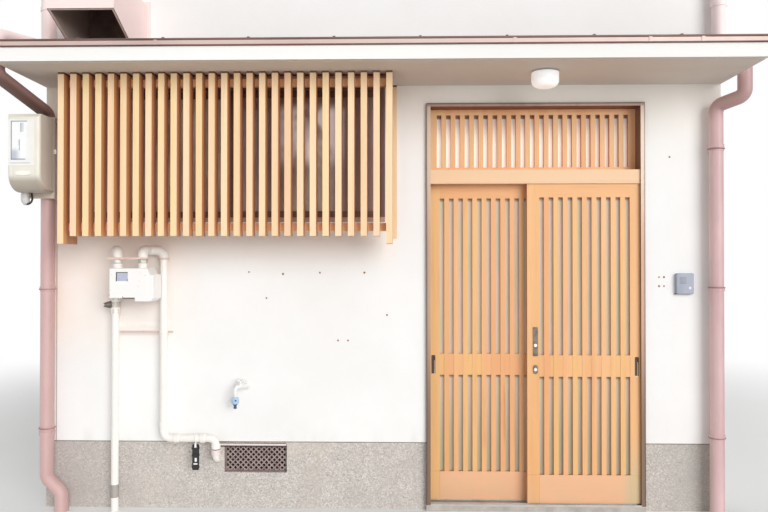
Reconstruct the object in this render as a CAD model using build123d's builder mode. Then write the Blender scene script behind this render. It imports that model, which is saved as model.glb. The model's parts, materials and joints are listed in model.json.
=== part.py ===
"""Machiya townhouse, two bays wide and two storeys high, with a slatted sliding entrance.

Millimetres. +X runs to the right as seen from the street, +Y runs into the house, +Z is up.
The origin is on the ground, at the middle of the house's width and depth.
"""
import os

from build123d import *

# House body
wall_width = 3860
house_depth = 5700
wall_thickness = 150
plinth_height = 385
plinth_recess = 12
floor_height = 30
storey_height = 2420
floor_build_up = 380
upper_floor_thickness = 200
upper_storey_height = 2550

# Roof
roof_slope = 0.45
eaves_overhang = 440
verge_overhang = 95
deck_thickness = 60
tile_thickness = 85
tile_columns = 15
tile_roll_rise = 24
tile_valley_depth = 17
tile_valley_share = 0.7
tile_roll_flat = 0.11
tile_drip = 45
ridge_gap = 24
ridge_width = 256
ridge_rise = 200
ridge_taper = 0.79
ridge_cap_radius = 85
ridge_end_width = 340
ridge_end_thickness = 50

# Gutters
gutter_radius = 55
gutter_wall = 4
gutter_flange = 34
gutter_end_margin = 12

# Canopy
canopy_depth = 550
canopy_thickness = 70
canopy_cover_edge = 40
canopy_cover_fall = 25
canopy_drip = 10
canopy_side_lap = 4
canopy_groove = 8
canopy_groove_inset = 30

# Street window and its hanging lattice
corner_pier = 188
middle_pier = 235
window_height = 779
lattice_left_inset = 37
lattice_right_lap = 46
lattice_reach = 335
slat_count = 25
slat_face = 33
slat_depth = 72
slat_length = 871
end_board_length = 911
end_board_depth = 166
head_board_thickness = 10
rail_thickness = 30
rail_housing = 8
top_rail_height = 40
top_rail_drop = 26
bottom_rail_height = 42
slat_tail = 29
trim_lap = 7
trim_width = 29
trim_thickness = 12

# Upper window, and the window of each storey at the back
upper_window_width = 1770
upper_sill_height = 650
upper_window_height = 1100
back_window_sill = 1200
back_window_height = 1100

# Sliding windows
window_frame_face = 24
window_frame_depth = 90
window_frame_proud = 8
sash_stile = 30
sash_rail = 38
sash_depth = 26
sash_gap = 6
glass_thickness = 5
glass_rebate = 10

# Entrance
door_pier = 433
door_width = 1234
over_door_height = 104
head_face = 20
jamb_face = 24
jamb_web = 6
door_frame_proud = 20
door_frame_depth = 150
leaf_overlap = 88
leaf_thickness = 36
leaf_pitch = 61
leaf_clearance = 5
transom_height = 360
transom_bar_height = 79
transom_bar_front = -10
leaf_top_groove = 15
transom_setback = 75
transom_thickness = 28
transom_slots = 21
transom_rail_top = 32
transom_rail_bottom = 24
leaf_stile = 69.2
leaf_slots = 10
slot_width = 26.5
bar_thickness = 12
bar_proud = 1.5
mid_rail_low = 760
mid_rail_height = 122
leaf_foot_rail = 160
leaf_head_rail = 78
leaf_glass_setback = 20

# Sill and rollers
sill_base = 4
sill_lip = 8
sill_rail_width = 5
sill_rail_rise = 5
roller_radius = 17
roller_width = 11
roller_inset = 110
roller_gap = 0.3
roller_slot_gap = 1
roller_axle = 3

# Lock and pulls
lock_plate_width = 28
lock_plate_height = 166
lock_plate_lap = 6
lock_plate_proud = 3
lock_inset = 46
lock_corner = 5
key_rise = 41
key_height = 52
cylinder_rise = 62
cylinder_radius = 9
cylinder_proud = 4
pull_width = 23
pull_height = 112
pull_rise = 2
pull_inset = 32
pull_depth = 6

# Underfloor vent
vent_from_corner = 1214
vent_width = 360
vent_height = 164
vent_cover = 17
vent_bar = 7
vent_pitch = 30
vent_rim = 10
vent_thickness = 8
vent_setback = 20

# Rainwater pipes
pipe_radius = 38
pipe_wall_gap = 22
strap_width = 22
strap_proud = 4
strap_stem = 14
bend_radius = 45
right_pipe_inset = 53
right_upper_pipe_inset = 36
left_pipe_inset = 40
back_pipe_inset = 60
left_foot_shift = 85
foot_top = 190
foot_bend = 50
stub_gap = 6
right_stub_reach = 187
left_stub_reach = 430
stub_rise = 35
right_stub_drop = 106
left_stub_drop = 35
right_rejoin_drop = 138
left_rejoin_drop = 165
neck_rise = 70
pipe_gutter_drop = 70
low_strap_rise = 45
middle_strap_height = 1250
right_strap_drop = 375
neck_strap_rise = 211
upper_strap_rise = 700
top_strap_drop = 209

# Exhaust hood
hood_from_corner = 413
hood_width = 345
hood_reach = 490
hood_rise = 12
hood_height = 322
hood_front_lift = 139
hood_mouth_run = 310
hood_sheet = 4
hood_flange = 22
hood_front_slope = 30

# Ceiling light
light_reach = 300
light_radius = 72
light_height = 86
light_base_radius = 64
light_base_height = 10
light_corner = 34

# Gas meter and pipes
meter_from_corner = 573
meter_width = 244
meter_height = 183
meter_depth = 130
meter_standoff = 78
meter_step = 18
meter_fillet = 6
display_inset = 38
display_width = 66
display_height = 50
display_drop = 22
display_depth = 4
gas_pipe_radius = 21
gas_pipe_standoff = 45
gas_riser_from_meter = -29
gas_branch_from_meter = 5
gas_inlet_from_meter = 23
gas_port_spacing = 140
gas_elbow_drop = 71
gas_elbow_rise = 100
gas_fitting_radius = 27
gas_fitting_skirt = 48
gas_union_radius = 26
gas_union_height = 26
gas_run_rise = 27
gas_run_length = 300
gas_bend = 40
gas_entry_drop = 95
gas_valve_drop = 75
gas_valve_radius = 27
gas_valve_height = 100
gas_knob_radius = 20
gas_knob_length = 38
gas_knob_taper = 10
gas_bracket_drop = 155
gas_bracket_height = 22
gas_bracket_thickness = 6

# Tap
tap_from_corner = 1165
tap_level = 706
tap_radius = 13
tap_reach = 70
tap_flange_radius = 26
tap_turn = 50
tap_spout_drop = 85
tap_handle_radius = 26
tap_handle_thickness = 10
tap_neck_height = 30
tap_flange_thickness = 8
tap_bend = 20
coupling_radius = 22
coupling_height = 66
coupling_lap = 30

# Intercom
intercom_from_corner = 212
intercom_level = 1230
intercom_width = 98
intercom_height = 118
intercom_depth = 26
intercom_corner = 8
intercom_edge = 5

# Electric meter on its board
board_from_corner = 15
board_width = 180
board_height = 455
board_drop = 197
board_thickness = 14
board_gap = 8
bracket_width = 18
bracket_height = 30
electric_width = 178
electric_height = 418
electric_depth = 165
electric_drop = 10
electric_corner = 18
electric_chin = 95
reading_width = 112
reading_height = 209
reading_rise = 142
reading_depth = 7
boss_width = 84
boss_height = 26
boss_rise = 5

# Places worked out from the sizes above
front = -house_depth / 2
back = house_depth / 2
left = -wall_width / 2
right = wall_width / 2
room_front = front + wall_thickness
room_back = back - wall_thickness
upper_floor_level = storey_height + floor_build_up
eaves_height = upper_floor_level + upper_storey_height
eaves_front = front - eaves_overhang
roof_half_width = right + verge_overhang
door_right = right - door_pier
door_left = door_right - door_width
door_centre = (door_left + door_right) / 2
door_head = storey_height - over_door_height
window_left = left + corner_pier
window_right = door_left - middle_pier
window_sill = storey_height - window_height
upper_window_sill = upper_floor_level + upper_sill_height
vent_bottom = plinth_height - vent_cover - vent_height
canopy_top = storey_height + canopy_thickness
canopy_crown = canopy_top + canopy_cover_edge + canopy_cover_fall
canopy_front = front - canopy_depth
slat_bottom = storey_height - slat_length
pipe_standoff = pipe_radius + pipe_wall_gap


def middle(span):
    """Halfway between two faces."""
    return (span[0] + span[1]) / 2


def reach(span):
    """Distance between two faces."""
    return span[1] - span[0]


def street_plane(y):
    """Upright plane at depth y, with its outline seen from the street."""
    return Plane(origin=(0, y, 0), x_dir=(1, 0, 0), z_dir=(0, -1, 0))


def side_plane(x):
    """Upright plane across the house at x, with its outline in depth and height."""
    return Plane(origin=(x, 0, 0), x_dir=(0, 1, 0), z_dir=(1, 0, 0))


def block(x_span, y_span, z_span, mode=Mode.ADD):
    """Squared piece between two faces on each axis, in the part being built."""
    with BuildSketch(Plane.XY.offset(z_span[0])) as base:
        with Locations((middle(x_span), middle(y_span))):
            Rectangle(reach(x_span), reach(y_span))
    extrude(base.sketch, amount=reach(z_span), mode=mode)


def side_prism(outline, x_span, mode=Mode.ADD):
    """Piece with one outline in depth and height, running from face to face along the street."""
    with BuildSketch(side_plane(x_span[0])) as profile:
        with BuildLine():
            Polyline(*outline, close=True)
        make_face()
    extrude(profile.sketch, amount=reach(x_span), mode=mode)


def upright_cylinder(x, y, z_span, radius, mode=Mode.ADD):
    """Round upright piece between two levels."""
    with BuildSketch(Plane.XY.offset(z_span[0])) as base:
        with Locations((x, y)):
            Circle(radius)
    extrude(base.sketch, amount=reach(z_span), mode=mode)


def pipe_run(points, radius, bend):
    """Round pipe along straight runs joined by bends."""
    with BuildLine() as path:
        FilletPolyline(*points, radius=bend)
    with BuildSketch(Plane(origin=path.line @ 0, z_dir=path.line % 0)) as section:
        Circle(radius)
    sweep(section.sketch, path=path.line)


def finish_part(builder, name):
    """Label a finished piece and write its file."""
    builder.part.label = name
    export_step(builder.part, f"parts/{name}.step")


def roof_line(y, lift=0):
    """Height of the roof's underside at depth y, raised by lift."""
    return eaves_height + roof_slope * (house_depth / 2 - abs(y)) + lift


os.makedirs("parts", exist_ok=True)

# Plinths, floors and walls

with BuildPart() as front_plinth:
    plinth_y = (front + plinth_recess, room_front)
    block((left, door_left), plinth_y, (0, plinth_height))
    block((door_right, right), plinth_y, (0, plinth_height))
    vent_centre = left + vent_from_corner
    vent_x = (vent_centre - vent_width / 2, vent_centre + vent_width / 2)
    block(vent_x, plinth_y, (vent_bottom, vent_bottom + vent_height), mode=Mode.SUBTRACT)
finish_part(front_plinth, "front_plinth")

with BuildPart() as front_wall_low:
    block((left, door_left), (front, room_front), (plinth_height, window_sill))
finish_part(front_wall_low, "front_wall_low")

with BuildPart() as front_wall_piers:
    block((left, window_left), (front, room_front), (window_sill, storey_height))
    block((window_right, door_left), (front, room_front), (window_sill, storey_height))
finish_part(front_wall_piers, "front_wall_piers")

with BuildPart() as front_wall_right:
    block((door_right, right), (front, room_front), (plinth_height, storey_height))
finish_part(front_wall_right, "front_wall_right")

with BuildPart() as front_wall_over_door:
    block((door_left, door_right), (front, room_front), (door_head, storey_height))
finish_part(front_wall_over_door, "front_wall_over_door")


def wall_head(bottom):
    """Top of the street wall, cut to the slope of the roof."""
    return (
        (front, bottom),
        (room_front, bottom),
        (room_front, roof_line(room_front)),
        (front, roof_line(front)),
    )


upper_window_head = upper_window_sill + upper_window_height
back_window_head = back_window_sill + back_window_height
upper_window_x = (-upper_window_width / 2, upper_window_width / 2)

with BuildPart() as upper_wall_bands:
    block((left, right), (front, room_front), (storey_height, upper_window_sill))
    side_prism(wall_head(upper_window_head), (left, right))
finish_part(upper_wall_bands, "upper_wall_bands")

with BuildPart() as upper_wall_piers:
    for pier in ((left, upper_window_x[0]), (upper_window_x[1], right)):
        block(pier, (front, room_front), (upper_window_sill, upper_window_head))
finish_part(upper_wall_piers, "upper_wall_piers")

with BuildPart() as back_wall_bands:
    block((left, right), (room_back, back), (0, back_window_sill))
    block((left, right), (room_back, back), (back_window_head, upper_window_sill))
    back_head = [(-y, z) for y, z in reversed(wall_head(upper_window_head))]
    side_prism(back_head, (left, right))
finish_part(back_wall_bands, "back_wall_bands")

with BuildPart() as back_wall_piers:
    for pier in ((left, upper_window_x[0]), (upper_window_x[1], right)):
        block(pier, (room_back, back), (back_window_sill, back_window_head))
        block(pier, (room_back, back), (upper_window_sill, upper_window_head))
finish_part(back_wall_piers, "back_wall_piers")

gable = (
    (room_front, 0),
    (room_back, 0),
    (room_back, roof_line(room_back)),
    (0, roof_line(0)),
    (room_front, roof_line(room_front)),
)

with BuildPart() as party_wall_left:
    side_prism(gable, (left, left + wall_thickness))
finish_part(party_wall_left, "party_wall_left")

with BuildPart() as party_wall_right:
    side_prism(gable, (right - wall_thickness, right))
finish_part(party_wall_right, "party_wall_right")

room_x = (left + wall_thickness, right - wall_thickness)

with BuildPart() as ground_floor:
    block(room_x, (room_front, room_back), (0, floor_height))
    block((door_left, door_right), (front - door_frame_proud, room_front), (0, floor_height))
finish_part(ground_floor, "ground_floor")

with BuildPart() as upper_floor:
    floor_z = (upper_floor_level - upper_floor_thickness, upper_floor_level)
    block(room_x, (room_front, room_back), floor_z)
finish_part(upper_floor, "upper_floor")

# Roof, laid as two slopes that meet under the ridge


def slope_outline(tip, lift, thickness):
    """Outline of the street slope from its tip to the ridge."""
    crown = -ridge_gap / 2
    return (
        (tip, roof_line(tip, lift)),
        (crown, roof_line(crown, lift)),
        (crown, roof_line(crown, lift + thickness)),
        (tip, roof_line(tip, lift + thickness)),
    )


def both_slopes(outline, x_span):
    """The street slope and its twin at the back."""
    side_prism(outline, x_span)
    side_prism([(-y, z) for y, z in reversed(outline)], x_span)


deck_x = (left - verge_overhang / 2, right + verge_overhang / 2)
tile_top = roof_line(0, deck_thickness + tile_thickness)

with BuildPart() as roof_deck:
    both_slopes(slope_outline(eaves_front, 0, deck_thickness), deck_x)
finish_part(roof_deck, "roof_deck")


def tiled_slope(side):
    """Pantiled slope on the street side (-1) or at the back (1): valleys and rolls, eaves to ridge."""
    tip = eaves_front - tile_drip
    deck = roof_line(tip, deck_thickness)
    roll_top = deck + tile_thickness
    bed = roll_top - tile_roll_rise
    column = 2 * roof_half_width / tile_columns
    roll_middle = column * (1 + tile_valley_share) / 2
    face = [(-roof_half_width, deck), (-roof_half_width, bed)]
    for i in range(tile_columns):
        x = -roof_half_width + i * column
        face += [
            (x + column * tile_valley_share / 2, bed - tile_valley_depth),
            (x + column * tile_valley_share, bed),
            (x + roll_middle - column * tile_roll_flat / 2, roll_top),
            (x + roll_middle + column * tile_roll_flat / 2, roll_top),
            (x + column, bed),
        ]
    face.append((roof_half_width, deck))
    run = abs(tip) - ridge_gap / 2
    with BuildSketch(street_plane(side * abs(tip))) as section:
        with BuildLine():
            Polyline(*face, close=True)
        make_face()
    up_slope = Vector(0, -side * run, roof_slope * run)
    extrude(section.sketch, amount=up_slope.length, dir=up_slope.normalized())


with BuildPart() as roof_tiles:
    tiled_slope(-1)
    tiled_slope(1)
finish_part(roof_tiles, "roof_tiles")


def seat_on_tiles(half):
    """Underside of a ridge piece, lying on the rolls of both slopes."""
    foot = roof_line(half, deck_thickness + tile_thickness)
    return ((-half, foot), (0, tile_top), (half, foot))


with BuildPart() as roof_ridge:
    ridge_half = ridge_width / 2
    ridge_shoulder = tile_top + ridge_rise - ridge_cap_radius
    ridge_seat = seat_on_tiles(ridge_half)
    with BuildSketch(side_plane(-roof_half_width)) as ridge_profile:
        with BuildLine():
            Polyline(
                (-ridge_cap_radius, ridge_shoulder),
                (-ridge_half * ridge_taper, ridge_shoulder),
                *ridge_seat,
                (ridge_half * ridge_taper, ridge_shoulder),
                (ridge_cap_radius, ridge_shoulder),
            )
            ThreePointArc(
                (ridge_cap_radius, ridge_shoulder),
                (0, tile_top + ridge_rise),
                (-ridge_cap_radius, ridge_shoulder),
            )
        make_face()
    extrude(ridge_profile.sketch, amount=2 * roof_half_width)
    end_half = ridge_end_width / 2
    end_seat = seat_on_tiles(end_half)
    for end_x in (-roof_half_width, roof_half_width - ridge_end_thickness):
        with BuildSketch(side_plane(end_x)) as end_profile:
            with BuildLine():
                Polyline((-end_half, tile_top), *end_seat, (end_half, tile_top))
                ThreePointArc((end_half, tile_top), (0, tile_top + ridge_rise), (-end_half, tile_top))
            make_face()
        extrude(end_profile.sketch, amount=ridge_end_thickness)
finish_part(roof_ridge, "roof_ridge")

# Rainwater: gutters, and the levels that every pipe from them shares

gutter_rim = roof_line(eaves_front) + gutter_flange / 2
gutter_y = eaves_front - gutter_radius
gutter_x = (-roof_half_width + gutter_end_margin, roof_half_width - gutter_end_margin)
pipe_y = front - pipe_standoff
gutter_outlet = gutter_rim - gutter_radius
gutter_bend = gutter_outlet - pipe_gutter_drop
wall_bend = gutter_bend - (pipe_y - gutter_y)
neck_level = canopy_crown + neck_rise
low_straps = (plinth_height + low_strap_rise, middle_strap_height)
high_straps = (
    neck_level + neck_strap_rise,
    upper_floor_level + upper_strap_rise,
    wall_bend - top_strap_drop,
)


def gutter_trough(side):
    """Half-round trough with stop ends, on the street side (-1) or the back (1)."""
    centre = -side * gutter_y
    with BuildSketch(side_plane(gutter_x[0])) as outside:
        with Locations((centre, gutter_rim)):
            Circle(gutter_radius)
            with Locations((0, gutter_radius)):
                Rectangle(2 * gutter_radius, 2 * gutter_radius, mode=Mode.SUBTRACT)
    extrude(outside.sketch, amount=reach(gutter_x))
    with BuildSketch(side_plane(gutter_x[0] + gutter_wall)) as inside:
        with Locations((centre, gutter_rim)):
            Circle(gutter_radius - gutter_wall)
    extrude(inside.sketch, amount=reach(gutter_x) - 2 * gutter_wall, mode=Mode.SUBTRACT)
    flange = sorted((side * abs(eaves_front), side * (abs(eaves_front) + gutter_wall)))
    block(gutter_x, flange, (gutter_rim, gutter_rim + gutter_flange / 2))


def strap(x, level, side=-1):
    """Band round a pipe with its stem to the street wall (-1) or the back wall (1)."""
    upright_cylinder(x, -side * pipe_y, (level, level + strap_width), pipe_radius + strap_proud)
    stem = (x - strap_stem / 2, x + strap_stem / 2)
    block(stem, sorted((-side * pipe_y, -side * front)), (level, level + strap_width))


with BuildPart() as gutters:
    gutter_trough(-1)
    gutter_trough(1)
    back_pipe_x = right - back_pipe_inset
    back_pipe = [
        (back_pipe_x, -gutter_y, gutter_outlet + gutter_wall / 2),
        (back_pipe_x, -gutter_y, gutter_bend),
        (back_pipe_x, -pipe_y, wall_bend),
        (back_pipe_x, -pipe_y, 0),
    ]
    pipe_run(back_pipe, pipe_radius, bend_radius)
    for level in low_straps + high_straps:
        strap(back_pipe_x, level, side=1)
finish_part(gutters, "gutters")

# Street downpipes: from the gutter, round the canopy's end, down to the ground


def swan_neck(x, upper_x, side, stub_reach, stub_drop, rejoin_drop):
    """Points from the gutter to below the canopy; side is -1 at the left and 1 at the right."""
    stub = side * (right + canopy_side_lap + stub_gap + pipe_radius)
    return [
        (upper_x, gutter_y, gutter_outlet),
        (upper_x, gutter_y, gutter_bend),
        (upper_x, pipe_y, wall_bend),
        (upper_x, pipe_y, neck_level),
        (stub, front - stub_reach, canopy_crown + stub_rise),
        (stub, front - stub_reach, storey_height - stub_drop),
        (x, pipe_y, storey_height - rejoin_drop),
    ]


with BuildPart() as downpipe_right:
    pipe_x = right - right_pipe_inset
    upper_pipe_x = right - right_upper_pipe_inset
    right_neck = (right_stub_reach, right_stub_drop, right_rejoin_drop)
    route = swan_neck(pipe_x, upper_pipe_x, 1, *right_neck)
    pipe_run(route + [(pipe_x, pipe_y, 0)], pipe_radius, bend_radius)
    for level in low_straps + (storey_height - right_strap_drop,):
        strap(pipe_x, level)
    for level in high_straps:
        strap(upper_pipe_x, level)
finish_part(downpipe_right, "downpipe_right")

with BuildPart() as downpipe_left:
    pipe_x = left + left_pipe_inset
    left_neck = (left_stub_reach, left_stub_drop, left_rejoin_drop)
    route = swan_neck(pipe_x, pipe_x, -1, *left_neck)
    foot_x = pipe_x + left_foot_shift
    foot = [
        (pipe_x, pipe_y, foot_top),
        (foot_x, pipe_y, foot_top - left_foot_shift),
        (foot_x, pipe_y, 0),
    ]
    bends = [bend_radius] * (len(route) - 1) + [foot_bend] * 2
    pipe_run(route + foot, pipe_radius, bends)
    for level in low_straps + high_straps:
        strap(pipe_x, level)
finish_part(downpipe_left, "downpipe_left")

# Canopy over the street front

with BuildPart() as canopy_slab:
    block((left, right), (canopy_front, front), (storey_height, canopy_top))
    groove_y = canopy_front + canopy_groove_inset
    groove = (groove_y, groove_y + canopy_groove)
    block((left, right), groove, (storey_height, storey_height + canopy_groove), mode=Mode.SUBTRACT)
finish_part(canopy_slab, "canopy_slab")

with BuildPart() as canopy_roofing:
    sheet = (
        (front, canopy_top),
        (front, canopy_crown),
        (canopy_front - canopy_drip, canopy_top + canopy_cover_edge),
        (canopy_front - canopy_drip, canopy_top),
    )
    side_prism(sheet, (left - canopy_side_lap, right + canopy_side_lap))
finish_part(canopy_roofing, "canopy_roofing")

# Hanging lattice: slats housed over two rails, between two end boards under a head board

lattice_left = window_left + lattice_left_inset
lattice_right = window_right + lattice_right_lap
lattice_front = front - lattice_reach
end_board_bottom = storey_height - end_board_length
end_board_back = lattice_front + end_board_depth
bottom_rail_level = slat_bottom + slat_tail
top_rail_level = storey_height - top_rail_drop
slat_back = lattice_front + slat_depth
slat_pitch = (lattice_right - lattice_left - slat_face) / (slat_count + 1)
rail_x = (lattice_left + slat_face, lattice_right - slat_face)
rail_y = (slat_back - rail_housing, slat_back - rail_housing + rail_thickness)
rail_levels = (
    (top_rail_level - top_rail_height, top_rail_level),
    (bottom_rail_level, bottom_rail_level + bottom_rail_height),
)

with BuildPart() as lattice_slats:
    with BuildSketch(Plane.XY.offset(slat_bottom)):
        with Locations(((lattice_left + lattice_right) / 2, (lattice_front + slat_back) / 2)):
            with GridLocations(slat_pitch, 0, slat_count, 1):
                Rectangle(slat_face, slat_depth)
    extrude(amount=storey_height - slat_bottom)
    for rail_z in rail_levels:
        block(rail_x, rail_y, rail_z, mode=Mode.SUBTRACT)
finish_part(lattice_slats, "lattice_slats")

with BuildPart() as lattice_rails:
    for rail_z in rail_levels:
        block(rail_x, rail_y, rail_z)
finish_part(lattice_rails, "lattice_rails")

with BuildPart() as lattice_end_boards:
    for board_left in (lattice_left, lattice_right - slat_face):
        board = (board_left, board_left + slat_face)
        block(board, (lattice_front, end_board_back), (end_board_bottom, storey_height))
    block(rail_x, (slat_back, end_board_back), (storey_height - head_board_thickness, storey_height))
    trim = (lattice_right - trim_lap, lattice_right - trim_lap + trim_width)
    block(trim, (front - trim_thickness, front), (slat_bottom, storey_height))
finish_part(lattice_end_boards, "lattice_end_boards")

# Sliding windows, each a frame with an outer and an inner sash

windows = (
    ((window_left, window_right), (window_sill, storey_height), -1),
    (upper_window_x, (upper_window_sill, upper_window_head), -1),
    (upper_window_x, (back_window_sill, back_window_head), 1),
    (upper_window_x, (upper_window_sill, upper_window_head), 1),
)


def depth_span(side, near, far):
    """Span between two depths measured inwards from the street face (-1) or the back face (1)."""
    return tuple(sorted((side * (house_depth / 2 - near), side * (house_depth / 2 - far))))


def ring(x_span, y_span, z_span, side_bar, end_bar):
    """Upright frame with bars of one width at the sides and another at top and bottom."""
    block(x_span, y_span, z_span)
    inner_x = (x_span[0] + side_bar, x_span[1] - side_bar)
    inner_z = (z_span[0] + end_bar, z_span[1] - end_bar)
    block(inner_x, y_span, inner_z, mode=Mode.SUBTRACT)


def sash_places(x_span, z_span, side):
    """Spans of the outer sash and the inner sash of one window."""
    inner_left = x_span[0] + window_frame_face
    inner_right = x_span[1] - window_frame_face
    sash_width = (inner_right - inner_left + sash_stile) / 2
    sash_z = (z_span[0] + window_frame_face, z_span[1] - window_frame_face)
    outer_near = (window_frame_depth - 2 * sash_depth - sash_gap) / 2 - window_frame_proud
    inner_near = outer_near + sash_depth + sash_gap
    right_sash = (inner_right - sash_width, inner_right)
    left_sash = (inner_left, inner_left + sash_width)
    return (
        (right_sash, depth_span(side, outer_near, outer_near + sash_depth), sash_z),
        (left_sash, depth_span(side, inner_near, inner_near + sash_depth), sash_z),
    )


def pane_place(sash):
    """Spans of the pane in one sash, let into its frame by the rebate."""
    x_span, y_span, z_span = sash
    pane_y = middle(y_span) - glass_thickness / 2
    return (
        (x_span[0] + sash_stile - glass_rebate, x_span[1] - sash_stile + glass_rebate),
        (pane_y, pane_y + glass_thickness),
        (z_span[0] + sash_rail - glass_rebate, z_span[1] - sash_rail + glass_rebate),
    )


sashes = [sash for window in windows for sash in sash_places(*window)]

with BuildPart() as window_frames:
    for x_span, z_span, side in windows:
        frame_y = depth_span(side, -window_frame_proud, window_frame_depth - window_frame_proud)
        ring(x_span, frame_y, z_span, window_frame_face, window_frame_face)
finish_part(window_frames, "window_frames")

with BuildPart() as window_sashes:
    for x_span, y_span, z_span in sashes:
        ring(x_span, y_span, z_span, sash_stile, sash_rail)
    for sash in sashes:
        block(*pane_place(sash), mode=Mode.SUBTRACT)
finish_part(window_sashes, "window_sashes")

# Entrance: aluminium frame, sill with two rails, transom bar and transom lattice

clear_x = (door_left + jamb_face, door_right - jamb_face)
sill_top = floor_height + sill_base
rail_top = sill_top + sill_rail_rise
leaf_bottom = rail_top + leaf_clearance
frame_y = (front - door_frame_proud, front - door_frame_proud + door_frame_depth)
leaf_spans = [(front + track, front + track + leaf_thickness) for track in (0, leaf_pitch)]
groove_spans = [(near - leaf_clearance, far + leaf_clearance) for near, far in leaf_spans]
transom_bar_top = door_head - head_face - transom_height
transom_bar_bottom = transom_bar_top - transom_bar_height
leaf_top = transom_bar_bottom + leaf_top_groove - leaf_clearance

with BuildPart() as door_frame:
    block((door_left, door_right), frame_y, (sill_top, door_head))
    block(clear_x, frame_y, (sill_top, door_head - head_face), mode=Mode.SUBTRACT)
    channel_x = (door_left + jamb_web, door_right - jamb_web)
    for groove in groove_spans:
        block(channel_x, groove, (sill_top, transom_bar_top), mode=Mode.SUBTRACT)
finish_part(door_frame, "door_frame")

with BuildPart() as door_sill:
    block((door_left, door_right), frame_y, (floor_height, sill_top))
    for near, far in leaf_spans:
        rail = ((near + far - sill_rail_width) / 2, (near + far + sill_rail_width) / 2)
        block(clear_x, rail, (sill_top, rail_top))
    lip = (frame_y[0], frame_y[0] + sill_base)
    block(clear_x, lip, (sill_top, sill_top + sill_lip))
finish_part(door_sill, "door_sill")

with BuildPart() as transom_bar:
    bar_y = (front + transom_bar_front, frame_y[1] - door_frame_proud)
    block(clear_x, bar_y, (transom_bar_bottom, transom_bar_top))
    groove_z = (transom_bar_bottom, transom_bar_bottom + leaf_top_groove)
    for groove in groove_spans:
        block(clear_x, groove, groove_z, mode=Mode.SUBTRACT)
finish_part(transom_bar, "transom_bar")

leaf_width = (door_width - 2 * jamb_web - 2 * leaf_clearance + leaf_overlap) / 2
bar_width = (leaf_width - 2 * leaf_stile - leaf_slots * slot_width) / (leaf_slots - 1)
slot_pitch = slot_width + bar_width
transom_y = (front + transom_setback, front + transom_setback + transom_thickness)
transom_z = (transom_bar_top, door_head - head_face)

with BuildPart() as transom_lattice:
    slot_z = (transom_z[0] + transom_rail_bottom, transom_z[1] - transom_rail_top)
    with BuildSketch(street_plane(transom_y[0])):
        with Locations((door_centre, middle(transom_z))):
            Rectangle(reach(clear_x), reach(transom_z))
        with Locations((door_centre, middle(slot_z))):
            with GridLocations(slot_pitch, 0, transom_slots, 1):
                Rectangle(slot_width, reach(slot_z), mode=Mode.SUBTRACT)
    extrude(amount=-transom_thickness)
finish_part(transom_lattice, "transom_lattice")

with BuildPart() as window_glass:
    for sash in sashes:
        block(*pane_place(sash))
    block(clear_x, (transom_y[1], transom_y[1] + glass_thickness), transom_z)
finish_part(window_glass, "window_glass")

# Sliding leaves, latticed, with the bars halved over the middle rail

mid_rail_high = mid_rail_low + mid_rail_height
bottom_rail_high = leaf_bottom + leaf_foot_rail
upper_field_top = transom_bar_bottom - leaf_head_rail
leaf_fields = ((bottom_rail_high, mid_rail_low), (mid_rail_high, upper_field_top))


def leaf_frame(leaf_left, leaf_y):
    """Stiles, rails and bars of one leaf, with its two rollers let into the bottom rail."""
    block((leaf_left, leaf_left + leaf_width), leaf_y, (leaf_bottom, leaf_top))
    field_x = (leaf_left + leaf_stile, leaf_left + leaf_width - leaf_stile)
    for field_z in leaf_fields:
        block(field_x, leaf_y, field_z, mode=Mode.SUBTRACT)
    face = (leaf_y[0], leaf_y[0] + bar_proud)
    block(field_x, face, (mid_rail_low, mid_rail_high), mode=Mode.SUBTRACT)
    with BuildSketch(street_plane(leaf_y[0])) as bars:
        with Locations((middle(field_x), (bottom_rail_high + upper_field_top) / 2)):
            with GridLocations(slot_pitch, 0, leaf_slots - 1, 1):
                Rectangle(bar_width, upper_field_top - bottom_rail_high)
    extrude(bars.sketch, amount=-bar_thickness)
    for pane in leaf_panes(leaf_left, leaf_y):
        block(*pane, mode=Mode.SUBTRACT)
    for x in (leaf_left + roller_inset, leaf_left + leaf_width - roller_inset):
        roller(x, middle(leaf_y))


def leaf_panes(leaf_left, leaf_y):
    """Spans of the lower and the upper pane, let into the leaf by the rebate."""
    pane_x = (
        leaf_left + leaf_stile - glass_rebate,
        leaf_left + leaf_width - leaf_stile + glass_rebate,
    )
    pane_y = (leaf_y[0] + leaf_glass_setback, leaf_y[0] + leaf_glass_setback + glass_thickness)
    return [(pane_x, pane_y, (z[0] - glass_rebate, z[1] + glass_rebate)) for z in leaf_fields]


def roller(x, y):
    """Roller on its axle in a slot of the bottom rail, just above the rail of the sill."""
    axle_z = rail_top + roller_gap + roller_radius
    slot_half = roller_radius + roller_slot_gap
    slot_y = roller_width / 2 + roller_slot_gap
    block(
        (x - slot_half, x + slot_half),
        (y - slot_y, y + slot_y),
        (leaf_bottom, axle_z + slot_half),
        mode=Mode.SUBTRACT,
    )
    for radius, length in ((roller_radius, roller_width), (roller_axle, 2 * slot_y)):
        with BuildSketch(street_plane(y - length / 2)) as disc:
            with Locations((x, axle_z)):
                Circle(radius)
        extrude(disc.sketch, amount=-length)


def pull_recess(x, leaf_y):
    """Shallow rounded finger pull let into a stile."""
    with BuildSketch(street_plane(leaf_y[0])) as recess:
        with Locations((x, mid_rail_low + pull_rise + pull_height / 2)):
            SlotOverall(pull_height, pull_width, rotation=90)
    extrude(recess.sketch, amount=-pull_depth, mode=Mode.SUBTRACT)


left_leaf_x = door_left + jamb_web + leaf_clearance
right_leaf_x = door_right - jamb_web - leaf_clearance - leaf_width
right_leaf_y, left_leaf_y = leaf_spans

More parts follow.
